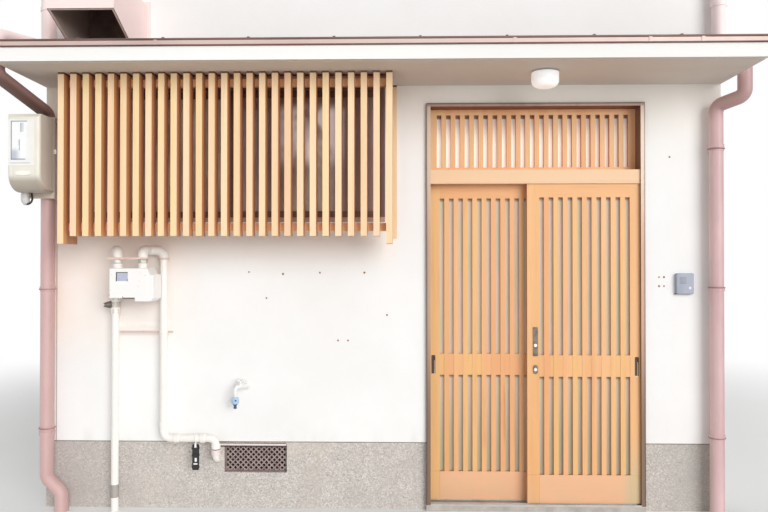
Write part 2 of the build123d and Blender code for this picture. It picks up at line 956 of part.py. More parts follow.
with BuildPart() as left_leaf:
    leaf_frame(left_leaf_x, left_leaf_y)
    pull_recess(left_leaf_x + pull_inset, left_leaf_y)
finish_part(left_leaf, "left_leaf")

with BuildPart() as right_leaf:
    leaf_frame(right_leaf_x, right_leaf_y)
    pull_recess(right_leaf_x + leaf_width - pull_inset, right_leaf_y)
finish_part(right_leaf, "right_leaf")

with BuildPart() as left_leaf_glass:
    for pane in leaf_panes(left_leaf_x, left_leaf_y):
        block(*pane)
finish_part(left_leaf_glass, "left_leaf_glass")

with BuildPart() as right_leaf_glass:
    for pane in leaf_panes(right_leaf_x, right_leaf_y):
        block(*pane)
finish_part(right_leaf_glass, "right_leaf_glass")

with BuildPart() as door_lock:
    lock_x = right_leaf_x + lock_inset
    lock_plate_bottom = mid_rail_high - lock_plate_lap
    key_level = mid_rail_low + key_rise
    cylinder_level = lock_plate_bottom + cylinder_rise
    with BuildSketch(street_plane(right_leaf_y[0])):
        with Locations((lock_x, lock_plate_bottom + lock_plate_height / 2)):
            RectangleRounded(lock_plate_width, lock_plate_height, lock_corner)
        with Locations((lock_x, key_level)):
            SlotOverall(key_height, lock_plate_width, rotation=90)
    extrude(amount=lock_plate_proud)
    with BuildSketch(street_plane(right_leaf_y[0] - lock_plate_proud)):
        with Locations((lock_x, cylinder_level), (lock_x, key_level)):
            Circle(cylinder_radius)
    extrude(amount=cylinder_proud)
finish_part(door_lock, "door_lock")

# Underfloor vent grille: diagonal bars fused where they cross, in a rim

with BuildSketch() as vent_rim_outline:
    Rectangle(vent_width, vent_height)
    Rectangle(vent_width - 2 * vent_rim, vent_height - 2 * vent_rim, mode=Mode.SUBTRACT)

with BuildPart() as vent_grille:
    grille_y = front + plinth_recess + vent_setback
    grille_middle = (vent_centre, vent_bottom + vent_height / 2)
    bar_count = int((vent_width + vent_height) / vent_pitch) + 1
    with BuildSketch(street_plane(grille_y)):
        with Locations(grille_middle):
            with GridLocations(vent_pitch, 0, bar_count, 1):
                Rectangle(vent_bar, 2 * vent_height, rotation=45)
                Rectangle(vent_bar, 2 * vent_height, rotation=-45)
            Rectangle(vent_width, vent_height, mode=Mode.INTERSECT)
            add(vent_rim_outline.sketch)
    extrude(amount=-vent_thickness)
finish_part(vent_grille, "vent_grille")

# Exhaust hood: folded sheet with a slanting open mouth, on a flange against the wall

with BuildPart() as exhaust_hood:
    hood_centre = left + hood_from_corner
    hood_x = (hood_centre - hood_width / 2, hood_centre + hood_width / 2)
    hood_lip = front - hood_reach
    mouth_rear = hood_lip + hood_mouth_run
    hood_bottom = canopy_crown + hood_rise
    hood_front_bottom = hood_bottom + hood_front_lift
    hood_top = hood_bottom + hood_height
    outside = (
        (front, hood_bottom),
        (front, hood_top),
        (hood_lip + hood_front_slope, hood_top),
        (hood_lip, hood_front_bottom),
        (mouth_rear, hood_bottom),
    )
    side_prism(outside, hood_x)
    flange_x = (hood_x[0] - hood_flange, hood_x[1] + hood_flange)
    block(flange_x, (front - hood_sheet, front), (hood_bottom, hood_top + hood_flange))
    inside = (
        (front - hood_sheet, hood_bottom + hood_sheet),
        (front - hood_sheet, hood_top - hood_sheet),
        (hood_lip + hood_front_slope + hood_sheet, hood_top - hood_sheet),
        (hood_lip + hood_sheet, hood_front_bottom - hood_sheet),
        (hood_lip + hood_sheet, hood_bottom),
        (mouth_rear - hood_sheet, hood_bottom),
        (mouth_rear, hood_bottom + hood_sheet),
    )
    side_prism(inside, (hood_x[0] + hood_sheet, hood_x[1] - hood_sheet), mode=Mode.SUBTRACT)
finish_part(exhaust_hood, "exhaust_hood")

# Round light under the canopy, in front of the door

with BuildPart() as ceiling_light:
    light_y = front - light_reach
    base_bottom = storey_height - light_base_height
    globe_bottom = storey_height - light_height
    upright_cylinder(door_centre, light_y, (globe_bottom, base_bottom), light_radius)
    fillet(ceiling_light.edges().group_by(Axis.Z)[0], light_corner)
    upright_cylinder(door_centre, light_y, (base_bottom, storey_height), light_base_radius)
finish_part(ceiling_light, "ceiling_light")

# Gas meter hung on its pipes

meter_back = front - meter_standoff
meter_x = left + meter_from_corner
meter_left = meter_x - meter_width / 2
meter_right = meter_x + meter_width / 2
elbow_level = slat_bottom - gas_elbow_drop
meter_top = elbow_level - gas_elbow_rise
meter_bottom = meter_top - meter_height

with BuildPart() as gas_meter:
    with BuildSketch(street_plane(meter_back - meter_depth)):
        with BuildLine():
            Polyline(
                (meter_left, meter_bottom + meter_step),
                (meter_left, meter_top),
                (meter_right - 2 * meter_step, meter_top),
                (meter_right - meter_step, meter_top - 2 * meter_step),
                (meter_right, meter_top - 2 * meter_step),
                (meter_right, meter_bottom + meter_step),
                (meter_right - meter_step, meter_bottom),
                (meter_x + meter_step, meter_bottom),
                (meter_x + meter_step, meter_bottom + meter_step),
                close=True,
            )
        make_face()
    extrude(amount=-meter_depth)
    fillet(gas_meter.edges().group_by(Axis.Y)[0], meter_fillet)
    display_x = (meter_left + display_inset, meter_left + display_inset + display_width)
    display_y = (meter_back - meter_depth, meter_back - meter_depth + display_depth)
    display_z = (meter_top - display_drop - display_height, meter_top - display_drop)
    block(display_x, display_y, display_z, mode=Mode.SUBTRACT)
finish_part(gas_meter, "gas_meter")

with BuildPart() as gas_pipes:
    port_y = meter_back - meter_depth / 2
    wall_y = front - gas_pipe_standoff
    riser_x = meter_left + gas_riser_from_meter
    branch_x = meter_right + gas_branch_from_meter
    inlet_x = meter_left + gas_inlet_from_meter
    outlet_x = inlet_x + gas_port_spacing
    run_end_x = branch_x + gas_run_length
    run_level = plinth_height + gas_run_rise
    entry_level = plinth_height - gas_entry_drop
    inlet = [
        (riser_x, wall_y, 0),
        (riser_x, wall_y, elbow_level),
        (inlet_x, port_y, elbow_level),
        (inlet_x, port_y, meter_top),
    ]
    pipe_run(inlet, gas_pipe_radius, gas_bend)
    outlet = [
        (outlet_x, port_y, meter_top),
        (outlet_x, port_y, elbow_level),
        (outlet_x, wall_y, elbow_level),
        (branch_x, wall_y, elbow_level),
        (branch_x, wall_y, run_level),
        (run_end_x, wall_y, run_level),
        (run_end_x, wall_y, entry_level),
        (run_end_x, front + plinth_recess, entry_level),
    ]
    pipe_run(outlet, gas_pipe_radius, gas_bend)
    skirt_level = elbow_level - gas_fitting_skirt
    inlet_fitting = [(riser_x, wall_y, skirt_level), *inlet[1:3], (inlet_x, port_y, skirt_level)]
    pipe_run(inlet_fitting, gas_fitting_radius, gas_bend)
    outlet_fitting = [(outlet_x, port_y, skirt_level), *outlet[1:4], (branch_x, wall_y, skirt_level)]
    pipe_run(outlet_fitting, gas_fitting_radius, gas_bend)
    for x in (inlet_x, outlet_x):
        upright_cylinder(x, port_y, (meter_top, meter_top + gas_union_height), gas_union_radius)
    valve_bottom = meter_bottom - gas_valve_drop
    upright_cylinder(riser_x, wall_y, (valve_bottom, valve_bottom + gas_valve_height), gas_valve_radius)
    valve_middle = valve_bottom + gas_valve_height / 2
    with BuildSketch(Plane(origin=(riser_x, wall_y, valve_middle), z_dir=(-1, -1, 0))) as knob:
        Circle(gas_knob_radius)
    extrude(knob.sketch, amount=gas_valve_radius + gas_knob_length, taper=gas_knob_taper)
    bracket_bottom = meter_bottom - gas_bracket_drop
    bracket_z = (bracket_bottom, bracket_bottom + gas_bracket_height)
    block((riser_x, branch_x), (front - gas_bracket_thickness, front), bracket_z)
    for x in (riser_x, branch_x):
        stem = (x - gas_bracket_thickness, x + gas_bracket_thickness)
        block(stem, (wall_y, front), bracket_z)
finish_part(gas_pipes, "gas_pipes")

# Garden tap, turned to one side, with a hose coupling on its spout

with BuildPart() as water_tap:
    tap_x = left + tap_from_corner
    spout_x = tap_x - tap_turn
    spout_y = front - tap_reach
    spout_end = tap_level - tap_spout_drop
    neck_x = middle((tap_x, spout_x))
    neck_y = middle((front - tap_reach / 2, spout_y))
    spout = [
        (tap_x, front, tap_level),
        (tap_x, front - tap_reach / 2, tap_level),
        (spout_x, spout_y, tap_level),
        (spout_x, spout_y, spout_end),
    ]
    pipe_run(spout, tap_radius, tap_bend)
    coupling_top = spout_end + coupling_lap
    upright_cylinder(spout_x, spout_y, (coupling_top - coupling_height, coupling_top), coupling_radius)
    with BuildSketch(street_plane(front)):
        with Locations((tap_x, tap_level)):
            Circle(tap_flange_radius)
    extrude(amount=tap_flange_thickness)
    upright_cylinder(neck_x, neck_y, (tap_level, tap_level + tap_neck_height), tap_radius)
    tap_handle = tap_level + tap_neck_height
    handle_span = (tap_handle, tap_handle + tap_handle_thickness)
    upright_cylinder(neck_x, neck_y, handle_span, tap_handle_radius)
finish_part(water_tap, "water_tap")

# Intercom

with BuildPart() as intercom:
    intercom_x = right - intercom_from_corner
    with BuildSketch(street_plane(front)):
        with Locations((intercom_x, intercom_level + intercom_height / 2)):
            RectangleRounded(intercom_width, intercom_height, intercom_corner)
    extrude(amount=intercom_depth)
    fillet(intercom.edges().group_by(Axis.Y)[0], intercom_edge)
finish_part(intercom, "intercom")

# Electric meter on a board that two brackets hold off the wall, in front of the pipe

board_back = front - pipe_standoff - pipe_radius - board_gap
board_x = left + board_from_corner
board_left = board_x - board_width / 2
board_right = board_x + board_width / 2
board_top = storey_height - board_drop
board_bottom = board_top - board_height

with BuildPart() as meter_board:
    block((board_left, board_right), (board_back - board_thickness, board_back), (board_bottom, board_top))
    for arm_bottom in (board_bottom, board_top - bracket_height):
        arm = (board_right - bracket_width, board_right)
        block(arm, (board_back, front), (arm_bottom, arm_bottom + bracket_height))
finish_part(meter_board, "meter_board")

with BuildPart() as electric_meter:
    case_back = board_back - board_thickness
    case_front = case_back - electric_depth
    case_x = (board_x - electric_width / 2, board_x + electric_width / 2)
    case_top = board_top - electric_drop
    electric_bottom = case_top - electric_height
    chin_top = electric_bottom + electric_chin
    with BuildSketch(side_plane(case_x[0])) as case_profile:
        with BuildLine():
            Polyline(
                (case_front + electric_chin, electric_bottom),
                (case_back, electric_bottom),
                (case_back, case_top),
                (case_front + electric_corner, case_top),
                (case_front, case_top - electric_corner),
                (case_front, chin_top),
            )
            CenterArc((case_front + electric_chin, chin_top), electric_chin, 180, 90)
        make_face()
    extrude(case_profile.sketch, amount=electric_width)
    front_edges = electric_meter.edges().group_by(Axis.Y)[0].filter_by(Axis.Z)
    fillet(front_edges, electric_corner)
    reading_x = (board_x - reading_width / 2, board_x + reading_width / 2)
    reading_z = (electric_bottom + reading_rise, electric_bottom + reading_rise + reading_height)
    block(reading_x, (case_front, case_front + reading_depth), reading_z, mode=Mode.SUBTRACT)
    with BuildSketch(street_plane(case_front + electric_chin)) as boss:
        with Locations((board_x, chin_top)):
            Ellipse(boss_width / 2, boss_height / 2)
    extrude(boss.sketch, amount=electric_chin + boss_rise)
finish_part(electric_meter, "electric_meter")
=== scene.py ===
"""Looks of the machiya townhouse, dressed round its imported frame. Metres, +Z up, the street at -Y."""
import json
import math
import random

import bmesh
import bpy
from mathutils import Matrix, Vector


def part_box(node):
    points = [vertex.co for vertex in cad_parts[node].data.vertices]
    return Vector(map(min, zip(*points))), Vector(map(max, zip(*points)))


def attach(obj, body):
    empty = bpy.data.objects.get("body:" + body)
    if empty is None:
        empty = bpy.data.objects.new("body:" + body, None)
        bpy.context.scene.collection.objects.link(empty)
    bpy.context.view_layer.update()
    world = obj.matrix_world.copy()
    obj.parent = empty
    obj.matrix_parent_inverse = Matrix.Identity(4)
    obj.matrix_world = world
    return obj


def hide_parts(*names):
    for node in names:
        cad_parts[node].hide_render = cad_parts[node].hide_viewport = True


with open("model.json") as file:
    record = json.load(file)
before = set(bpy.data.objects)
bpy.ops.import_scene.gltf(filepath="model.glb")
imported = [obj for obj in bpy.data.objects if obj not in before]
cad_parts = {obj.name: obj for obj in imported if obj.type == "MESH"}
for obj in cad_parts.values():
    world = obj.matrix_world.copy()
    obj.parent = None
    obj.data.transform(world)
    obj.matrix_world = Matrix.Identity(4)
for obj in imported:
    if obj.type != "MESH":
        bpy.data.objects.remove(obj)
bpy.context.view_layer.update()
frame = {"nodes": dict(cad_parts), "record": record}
random.seed(11)

# Driving dimensions
ROOF_SLOPE = 0.45
DECK_THICKNESS = 0.06
TILE_PITCH = 0.27
TILE_COURSES = 15
TILE_SEGMENTS = 12
TILE_THICKNESS = 0.014
TILE_LIFT_LOW = 0.058
TILE_LIFT_HIGH = 0.036
TILE_VALLEY = 0.017
TILE_ROLL = 0.024
TILE_VALLEY_SHARE = 0.7
RIDGE_HALF = 0.1
RAFTER_PITCH = 0.364
RAFTER_WIDTH = 0.045
RAFTER_HEIGHT = 0.06
LEAF_STILE = 0.0692
LEAF_FOOT_RAIL = 0.204
LEAF_HEAD_RAIL = 1.779
LEAF_MIDDLE_RAIL = 0.76
BAR_PITCH = 0.0539
SLAT_PITCH = 0.03358
SEAM_PITCH = 0.455
PLINTH_TOP = 0.385
UPPER_STOREY = 2.6
WINDOW_RAIL = (1.607, 1.668)
FACE_DEPTH = 0.01

# Camera, fitted to the photograph's straight edges
CAMERA_PLACE = (0.1144, -6.9704, 1.4115)
CAMERA_YAW = 1.2855
CAMERA_PITCH = 0.476
CAMERA_LENS = 33.81
CAMERA_SENSOR = 36

# Light and background
SKY_STRENGTH = 0.5
SUN_STRENGTH = 2.08
SUN_HEIGHT = 13
SUN_TURN = 31
SUN_SPREAD = 40
FLOOR_REACH = 60.0
FLOOR_FADE = (2.2, 6.5)
WHITE = (1.0, 1.0, 1.0, 1.0)

wall_lo, wall_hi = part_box("upper_wall_bands")
deck_lo, deck_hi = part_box("roof_deck")
tiles_lo, tiles_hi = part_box("roof_tiles")
FRONT = wall_lo.y
BACK = -FRONT
DECK_EDGE = abs(deck_lo.y)
EAVES = deck_lo.z + ROOF_SLOPE * (DECK_EDGE - BACK)
CANOPY_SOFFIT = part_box("canopy_slab")[0].z
COLUMNS = round((tiles_hi.x - tiles_lo.x) / TILE_PITCH)
COLUMN_WIDTH = (tiles_hi.x - tiles_lo.x) / COLUMNS
TILE_EDGE = abs(tiles_lo.y)
COURSE = (TILE_EDGE - RIDGE_HALF) / TILE_COURSES
OVERLAP = 0.25 * COURSE


def roof_line(y, lift=0.0):
    """Height of the deck's underside at depth y, raised by lift."""
    return EAVES + ROOF_SLOPE * (BACK - abs(y)) + lift


def arc(u, v, radius, start, end, steps, high=None):
    """Points round (u, v) between two angles in half turns; high is the upright radius of an oval."""
    angles = [math.pi * (start + (end - start) * k / steps) for k in range(steps + 1)]
    return [(u + radius * math.cos(a), v + (high or radius) * math.sin(a)) for a in angles]


def add_object(name, data, place=(0, 0, 0), turn=(0, 0, 0)):
    """New object in the scene; turn is in degrees."""
    made = bpy.data.objects.new(name, data)
    made.location = place
    made.rotation_euler = [math.radians(angle) for angle in turn]
    bpy.context.scene.collection.objects.link(made)
    return made


# Meshes


class Mesh:
    """Vertices and faces of one piece while it is being made, measured from an origin."""

    def __init__(self, origin=(0, 0, 0)):
        self.bm = bmesh.new()
        self.origin = origin

    def skin(self, rows):
        """Faces between rows of vertices; each row is a closed ring."""
        for a, b in rows:
            for i in range(len(a)):
                j = (i + 1) % len(a)
                self.bm.faces.new((a[i], a[j], b[j], b[i]))

    def loft(self, rings):
        """Solid over rings of points; each ring has the same number of points."""
        rows = [[self.bm.verts.new(p) for p in ring] for ring in rings]
        self.skin(zip(rows, rows[1:]))
        self.bm.faces.new(list(reversed(rows[0])))
        self.bm.faces.new(rows[-1])
        return self

    def prism(self, outline, x0, x1):
        """Solid with one outline in (y, z), between two places along x."""
        return self.loft([[(x, y, z) for y, z in outline] for x in sorted((x0, x1))])

    def box(self, lo, hi, ease=0.0):
        """Squared block between two corners, with its edges eased."""
        made = bmesh.ops.create_cube(self.bm, size=1.0)["verts"]
        size = Vector(hi) - Vector(lo)
        centre = (Vector(hi) + Vector(lo)) / 2
        for v in made:
            v.co = v.co * size + centre
        if ease:
            edges = list({e for v in made for e in v.link_edges})
            bmesh.ops.bevel(self.bm, geom=edges, offset=ease, segments=2, affect="EDGES")
        return self

    def plates(self, y0, y1, ease, *rows):
        """Blocks between two depths, one for each row x0, x1, z0, z1."""
        for x0, x1, z0, z1 in rows:
            self.box((x0, y0, z0), (x1, y1, z1), ease)
        return self

    def tube(self, points, radius, sides=20):
        """Round bar along points; radius is one number or one for each point."""
        points = [Vector(p) for p in points]
        radii = radius if isinstance(radius, (list, tuple)) else [radius] * len(points)
        rings = []
        side = None
        for i, p in enumerate(points):
            ahead = points[min(i + 1, len(points) - 1)] - points[max(i - 1, 0)]
            ahead.normalize()
            if side is None:
                side = ahead.orthogonal().normalized()
            side = (side - ahead * side.dot(ahead)).normalized()
            other = ahead.cross(side)
            angles = [2 * math.pi * k / sides for k in range(sides)]
            rings.append([p + (side * math.cos(a) + other * math.sin(a)) * radii[i] for a in angles])
        return self.loft(rings)

    def turned(self, place, way, profile, sides=24):
        """Round piece that runs from a place one way; profile holds pairs of distance and radius."""
        place, way = Vector(place), Vector(way).normalized()
        return self.tube([place + way * t for t, _ in profile], [r for _, r in profile], sides)

    def stud(self, place, way, radius, height, sides=16):
        """Low domed head that stands on a face."""
        dome = ((0.0, 1.0), (0.55, 0.95), (0.85, 0.72), (1.0, 0.4))
        return self.turned(place, way, [(height * t, radius * r) for t, r in dome], sides)

    def band(self, x, y, z0, z1, inner, outer, ease=0.0015, sides=40):
        """Collar round an upright pipe; with 6 sides it is a nut."""
        profile = [(inner, z0), (outer - ease, z0), (outer, z0 + ease),
                   (outer, z1 - ease), (outer - ease, z1), (inner, z1)]
        angles = [2 * math.pi * (k + 0.5) / sides for k in range(sides)]
        rows = [[self.bm.verts.new((x + r * math.cos(a), y + r * math.sin(a), z)) for a in angles]
                for r, z in profile]
        self.skin(zip(rows, rows[1:] + rows[:1]))
        return self

    def finish(self, name, slot, material=None, body="house", smooth=35.0, replaces=()):
        """Make the piece, give it its material, which is the slot's if none is named, and its body."""
        bmesh.ops.recalc_face_normals(self.bm, faces=self.bm.faces)
        bmesh.ops.translate(self.bm, vec=self.origin, verts=self.bm.verts)
        data = bpy.data.meshes.new(name)
        self.bm.to_mesh(data)
        self.bm.free()
        piece = add_object(name, data)
        data.materials.append(MATERIALS[material or slot])
        data.shade_smooth()
        data.set_sharp_from_angle(angle=math.radians(smooth))
        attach(piece, body)
        if replaces:
            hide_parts(*replaces)


def blocks(name, slot, material, origin, *groups, body="house"):
    """Piece of squared blocks; a group is y0, y1, the ease and rows of x0, x1, z0, z1 from the origin."""
    made = Mesh(origin)
    for group in groups:
        made.plates(*group)
    made.finish(name, slot, material, body)


# Materials


def linear(colour):
    """Colour as seen on a screen, three numbers to 255, as a shader takes it; others stay as they are."""
    if not isinstance(colour, tuple) or len(colour) != 3:
        return colour
    shares = [value / 255 for value in colour]
    return tuple(v / 12.92 if v <= 0.04045 else ((v + 0.055) / 1.055) ** 2.4 for v in shares) + (1.0,)


class Nodes:
    """A node tree being written."""

    def __init__(self, tree):
        self.tree = tree

    def add(self, kind, inputs=None, **settings):
        node = self.tree.nodes.new("ShaderNode" + kind)
        for key, value in settings.items():
            setattr(node, key, value)
        for key, value in (inputs or {}).items():
            self.feed(node.inputs[key], value)
        return node

    def feed(self, socket, value):
        if isinstance(value, bpy.types.NodeSocket):
            self.tree.links.new(value, socket)
        else:
            socket.default_value = value

    def calc(self, operation, a, b=0.0, c=0.0):
        return self.add("Math", {0: a, 1: b, 2: c}, operation=operation).outputs[0]

    def times(self, first, *others):
        for other in others:
            first = self.calc("MULTIPLY", first, other)
        return first

    def minus(self, a, b):
        return self.calc("SUBTRACT", a, b)

    def larger(self, a, b):
        return self.calc("MAXIMUM", a, b)

    def below(self, value, limit):
        return self.calc("LESS_THAN", value, limit)

    def above(self, value, limit):
        return self.calc("GREATER_THAN", value, limit)

    def rise(self, value, low, high):
        """0 below low, 1 above high, smooth between."""
        inputs = {"Value": value, "From Min": low, "From Max": high}
        return self.add("MapRange", inputs, interpolation_type="SMOOTHSTEP").outputs["Result"]

    def fall(self, value, low, high):
        """1 below low, 0 above high, smooth between."""
        return self.minus(1.0, self.rise(value, low, high))

    def zone(self, value, low, full, full_end, end):
        """1 between full and full_end, falling to 0 at low and at end."""
        return self.times(self.rise(value, low, full), self.fall(value, full_end, end))

    def from_sides(self, value, low, high):
        """Distance to the nearer of two limits."""
        return self.calc("MINIMUM", self.minus(value, low), self.minus(high, value))


MATERIALS = {}


class Finish(Nodes):
    """A node material being written, on one Principled shader; base is its colour so far."""

    def __init__(self, name, roughness=0.6, metallic=0.0, **shader):
        self.material = MATERIALS[name] = bpy.data.materials.new(name)
        self.material.use_nodes = True
        super().__init__(self.material.node_tree)
        self.shader = self.tree.nodes["Principled BSDF"]
        for key, value in {"Roughness": roughness, "Metallic": metallic, **shader}.items():
            self.shade(key.replace("_", " "), value)
        self.place = self.add("TexCoord").outputs["Object"]
        self.axes = self.add("SeparateXYZ", {0: self.place}).outputs
        self.x, self.y, self.z = self.axes
        self.base = None
        self.heights = None

    def shade(self, key, value):
        self.feed(self.shader.inputs[key], value)

    def noise(self, scale, detail=4.0, stretch=(1, 1, 1), rough=0.55, twist=0.0):
        """Cloudy value, about 0.5 in the middle."""
        place = self.add("Mapping", {"Vector": self.place, "Scale": stretch}).outputs["Vector"]
        inputs = {"Vector": place, "Scale": scale, "Detail": detail, "Roughness": rough, "Distortion": twist}
        return self.add("TexNoise", inputs).outputs["Fac"]

    def patches(self, low, high, *noise, **more):
        """0 where the noise is below low, 1 where it is above high."""
        return self.rise(self.noise(*noise, **more), low, high)

    def clouds(self, first, second, *noise):
        """Colour that drifts between two tones."""
        return self.ramp(self.noise(*noise), (0.3, first), (0.7, second))

    def random_at(self, place):
        return self.add("TexWhiteNoise", {"Vector": place}).outputs["Value"]

    def snapped(self, pitch):
        """One random value for each bar of a row along x."""
        step = (pitch, 10.0, 10.0)
        return self.random_at(self.add("VectorMath", {0: self.place, 1: step}, operation="SNAP").outputs[0])

    def toward(self, index, way, low, high):
        """1 on faces that look along an axis, way 1 or -1, and 0 on others."""
        normal = self.add("NewGeometry").outputs["Normal"]
        along = self.add("SeparateXYZ", {0: normal}).outputs[index]
        return self.rise(self.times(along, way), low, high)

    def mix(self, factor, a, b):
        node = self.add("Mix", data_type="RGBA")
        for index, value in ((0, factor), (6, linear(a)), (7, linear(b))):
            self.feed(node.inputs[index], value)
        return node.outputs[2]

    def ramp(self, factor, *stops):
        node = self.add("ValToRGB", {"Fac": factor})
        elements = node.color_ramp.elements
        while len(elements) < len(stops):
            elements.new(1.0)
        for element, (position, colour) in zip(elements, stops):
            element.position = position
            element.color = linear(colour)
        return node.outputs["Color"]

    def tint(self, colour, *shares):
        """Blend another colour over the base by the product of some shares."""
        self.base = self.mix(self.times(*shares), self.base, colour)

    def bump(self, height, distance, strength=1.0):
        """Relief; several calls add up."""
        inputs = {"Height": height, "Distance": distance, "Strength": strength}
        if self.heights is not None:
            inputs["Normal"] = self.heights
        self.heights = self.add("Bump", inputs).outputs["Normal"]
        self.shade("Normal", self.heights)

    def metal_skin(self, low, high, brushed=(1, 1, 0.05)):
        """Fine drawing lines."""
        self.bump(self.noise(300.0, 2.0, brushed), 0.0001, 0.4)
        self.done(self.noise(40.0), low, high)

    def plastic_skin(self, low, high):
        """Fine moulded texture."""
        self.bump(self.noise(260.0, 3.0), 0.0002, 0.5)
        self.done(self.noise(20.0), low, high)

    def done(self, roughness=None, low=0.0, high=1.0):
        """Hand the base colour to the shader; roughness varies between low and high."""
        self.shade("Base Color", self.base)
        if roughness is not None:
            inputs = {"Value": roughness, "To Min": low, "To Max": high}
            self.shade("Roughness", self.add("MapRange", inputs).outputs["Result"])


ALONG_X = (0.05, 1, 1)
ALONG_Y = (1, 0.05, 1)
ALONG_Z = (1, 1, 0.05)


def plaster():
    """White render: faint clouding, with painted warm shade and painted bounce light on the street face, and
    grime at its foot.
    """
    f = Finish("white_plaster", 0.85)
    front = f.times(f.below(f.y, FRONT + FACE_DEPTH), f.below(f.z, CANOPY_SOFFIT))
    f.base = f.clouds((244, 243, 241), (251, 251, 250), 1.7, 5.0)
    grime = f.times(f.fall(f.z, PLINTH_TOP, 0.5), f.patches(0.45, 0.75, 9.0, 4.0, (1, 1, 0.12)))
    f.tint((206, 196, 182), 0.16, grime, front)
    # painted shade: a warm tint on the street face just under the canopy, where its shade falls
    f.tint((255, 248, 235), 0.5, f.rise(f.z, 1.9, CANOPY_SOFFIT), front)
    # painted warm shade, broken into patches, low on the left of the street face
    warm_shade_patches = f.times(f.fall(f.x, -1.75, -0.95), f.patches(0.3, 0.6, 2.6, 4.0), f.rise(f.z, 0.8, 1.2))
    f.tint((246, 229, 212), 0.6, warm_shade_patches, front)
    # painted warm bounce light from the lattice on the wall below it
    lattice_bounce_light = f.times(f.zone(f.z, 1.3, 1.6, 1.68, 1.8), f.below(f.x, 0.1))
    f.tint((255, 243, 230), 0.7, lattice_bounce_light, front)
    # painted warm shade on the wall beside the gas meter
    meter_warm_shade = f.times(f.zone(f.z, 0.75, 1.25, 1.68, 1.8), f.fall(f.x, -1.35, -0.95))
    f.tint((252, 234, 222), 0.5, meter_warm_shade, front)
    # dark line at the house's edge beside the left downpipe: partly a joint, partly the downpipe's painted
    # shadow
    joint = f.times(f.calc("COMPARE", f.x, -1.866, 0.003), f.above(f.z, PLINTH_TOP))
    f.tint((120, 104, 92), 0.55, joint, front)
    f.bump(f.noise(55.0, 6.0), 0.0012, 0.5)
    f.bump(f.noise(420.0, 3.0), 0.0004, 0.4)
    f.done()


def pebbles():
    """Washed pebble render: small rounded stones in grey mortar, with a shadow line at its top."""
    f = Finish("pebble_plinth", 0.82)
    stones = f.add("TexVoronoi", {"Vector": f.place, "Scale": 140.0}).outputs
    f.base = f.ramp(f.add("SeparateColor", {0: stones["Color"]}).outputs[0],
                    (0.0, (190, 184, 178)), (0.35, (212, 206, 200)), (0.7, (224, 219, 213)),
                    (0.93, (236, 231, 226)), (1.0, (158, 150, 143)))
    f.tint((184, 177, 170), 0.5, f.rise(stones["Distance"], 0.35, 0.62))
    f.tint((172, 164, 156), 0.6, f.patches(0.5, 0.68, 52.0, 3.0, rough=0.5, twist=2.4))
    f.tint((186, 180, 176), 0.5, f.patches(0.42, 0.7, 6.0, 6.0, rough=0.7))
    f.tint((220, 206, 190), 0.4, f.patches(0.5, 0.75, 3.1, 4.0))
    f.tint((176, 166, 162), 0.4, f.fall(f.x, -1.75, -1.25))
    f.tint((172, 170, 164), 0.45, f.rise(f.x, 1.5, 1.75))
    f.tint((92, 80, 74), 0.75, f.rise(f.z, PLINTH_TOP - 0.011, PLINTH_TOP - 0.004))
    f.bump(f.minus(1.0, stones["Distance"]), 0.0018, 0.7)
    f.done()


def concrete():
    f = Finish("concrete", 0.9)
    f.base = f.clouds((170, 165, 158), (200, 196, 190), 14.0, 7.0)
    f.bump(f.noise(180.0, 4.0), 0.0008, 0.6)
    f.done()


def grain(f, along):
    """Growth bands and finer fibres along one axis."""
    return f.noise(7.0, 3.0, along, 0.5, 0.6), f.noise(46.0, 3.0, along, 0.6)


def hued(f, own, face, yellow, pink, limits):
    """Face colour that differs from bar to bar: yellower where own is low and pinker where it is high."""
    face = f.mix(f.rise(own, *limits[1]), face, pink)
    return f.mix(f.fall(own, *limits[0]), face, yellow)


def cypress(name, front, side, dark, along, pitch=None, hues=None, shade_from=None):
    """Oiled cypress, with painted light on the faces that look to the street and painted shade on the sides.

    hues are two more tones between which bars set at a pitch differ, and shade_from is the depth
    behind which the sides take a darker, redder painted shade.
    """
    f = Finish(name, 0.5)
    bands, fibres = grain(f, along)
    if shade_from is not None:
        # painted shade: the sides turn darker and redder behind shade_from
        side = f.mix(f.times(f.rise(f.y, shade_from, shade_from + 0.03), 0.8), side, (186, 130, 104))
    if hues:
        front = hued(f, f.snapped(pitch), front, *hues, ((0.05, 0.45), (0.55, 0.95)))
    # painted light and shade: faces that look to the street take the front tone, the others the darker side
    # tone
    f.base = f.mix(f.toward(1, -1, 0.3, 0.8), side, front)
    f.tint(dark, 0.38, f.rise(bands, 0.42, 0.72))
    f.tint(dark, 0.3, f.rise(fibres, 0.5, 0.8))
    # painted shadow where the bars meet the canopy's soffit: their top 10 mm turn dark brown
    f.tint((112, 76, 56), f.above(f.z, CANOPY_SOFFIT - 0.0098))
    f.bump(fibres, 0.0006, 0.5)
    f.done(bands, 0.38, 0.6)


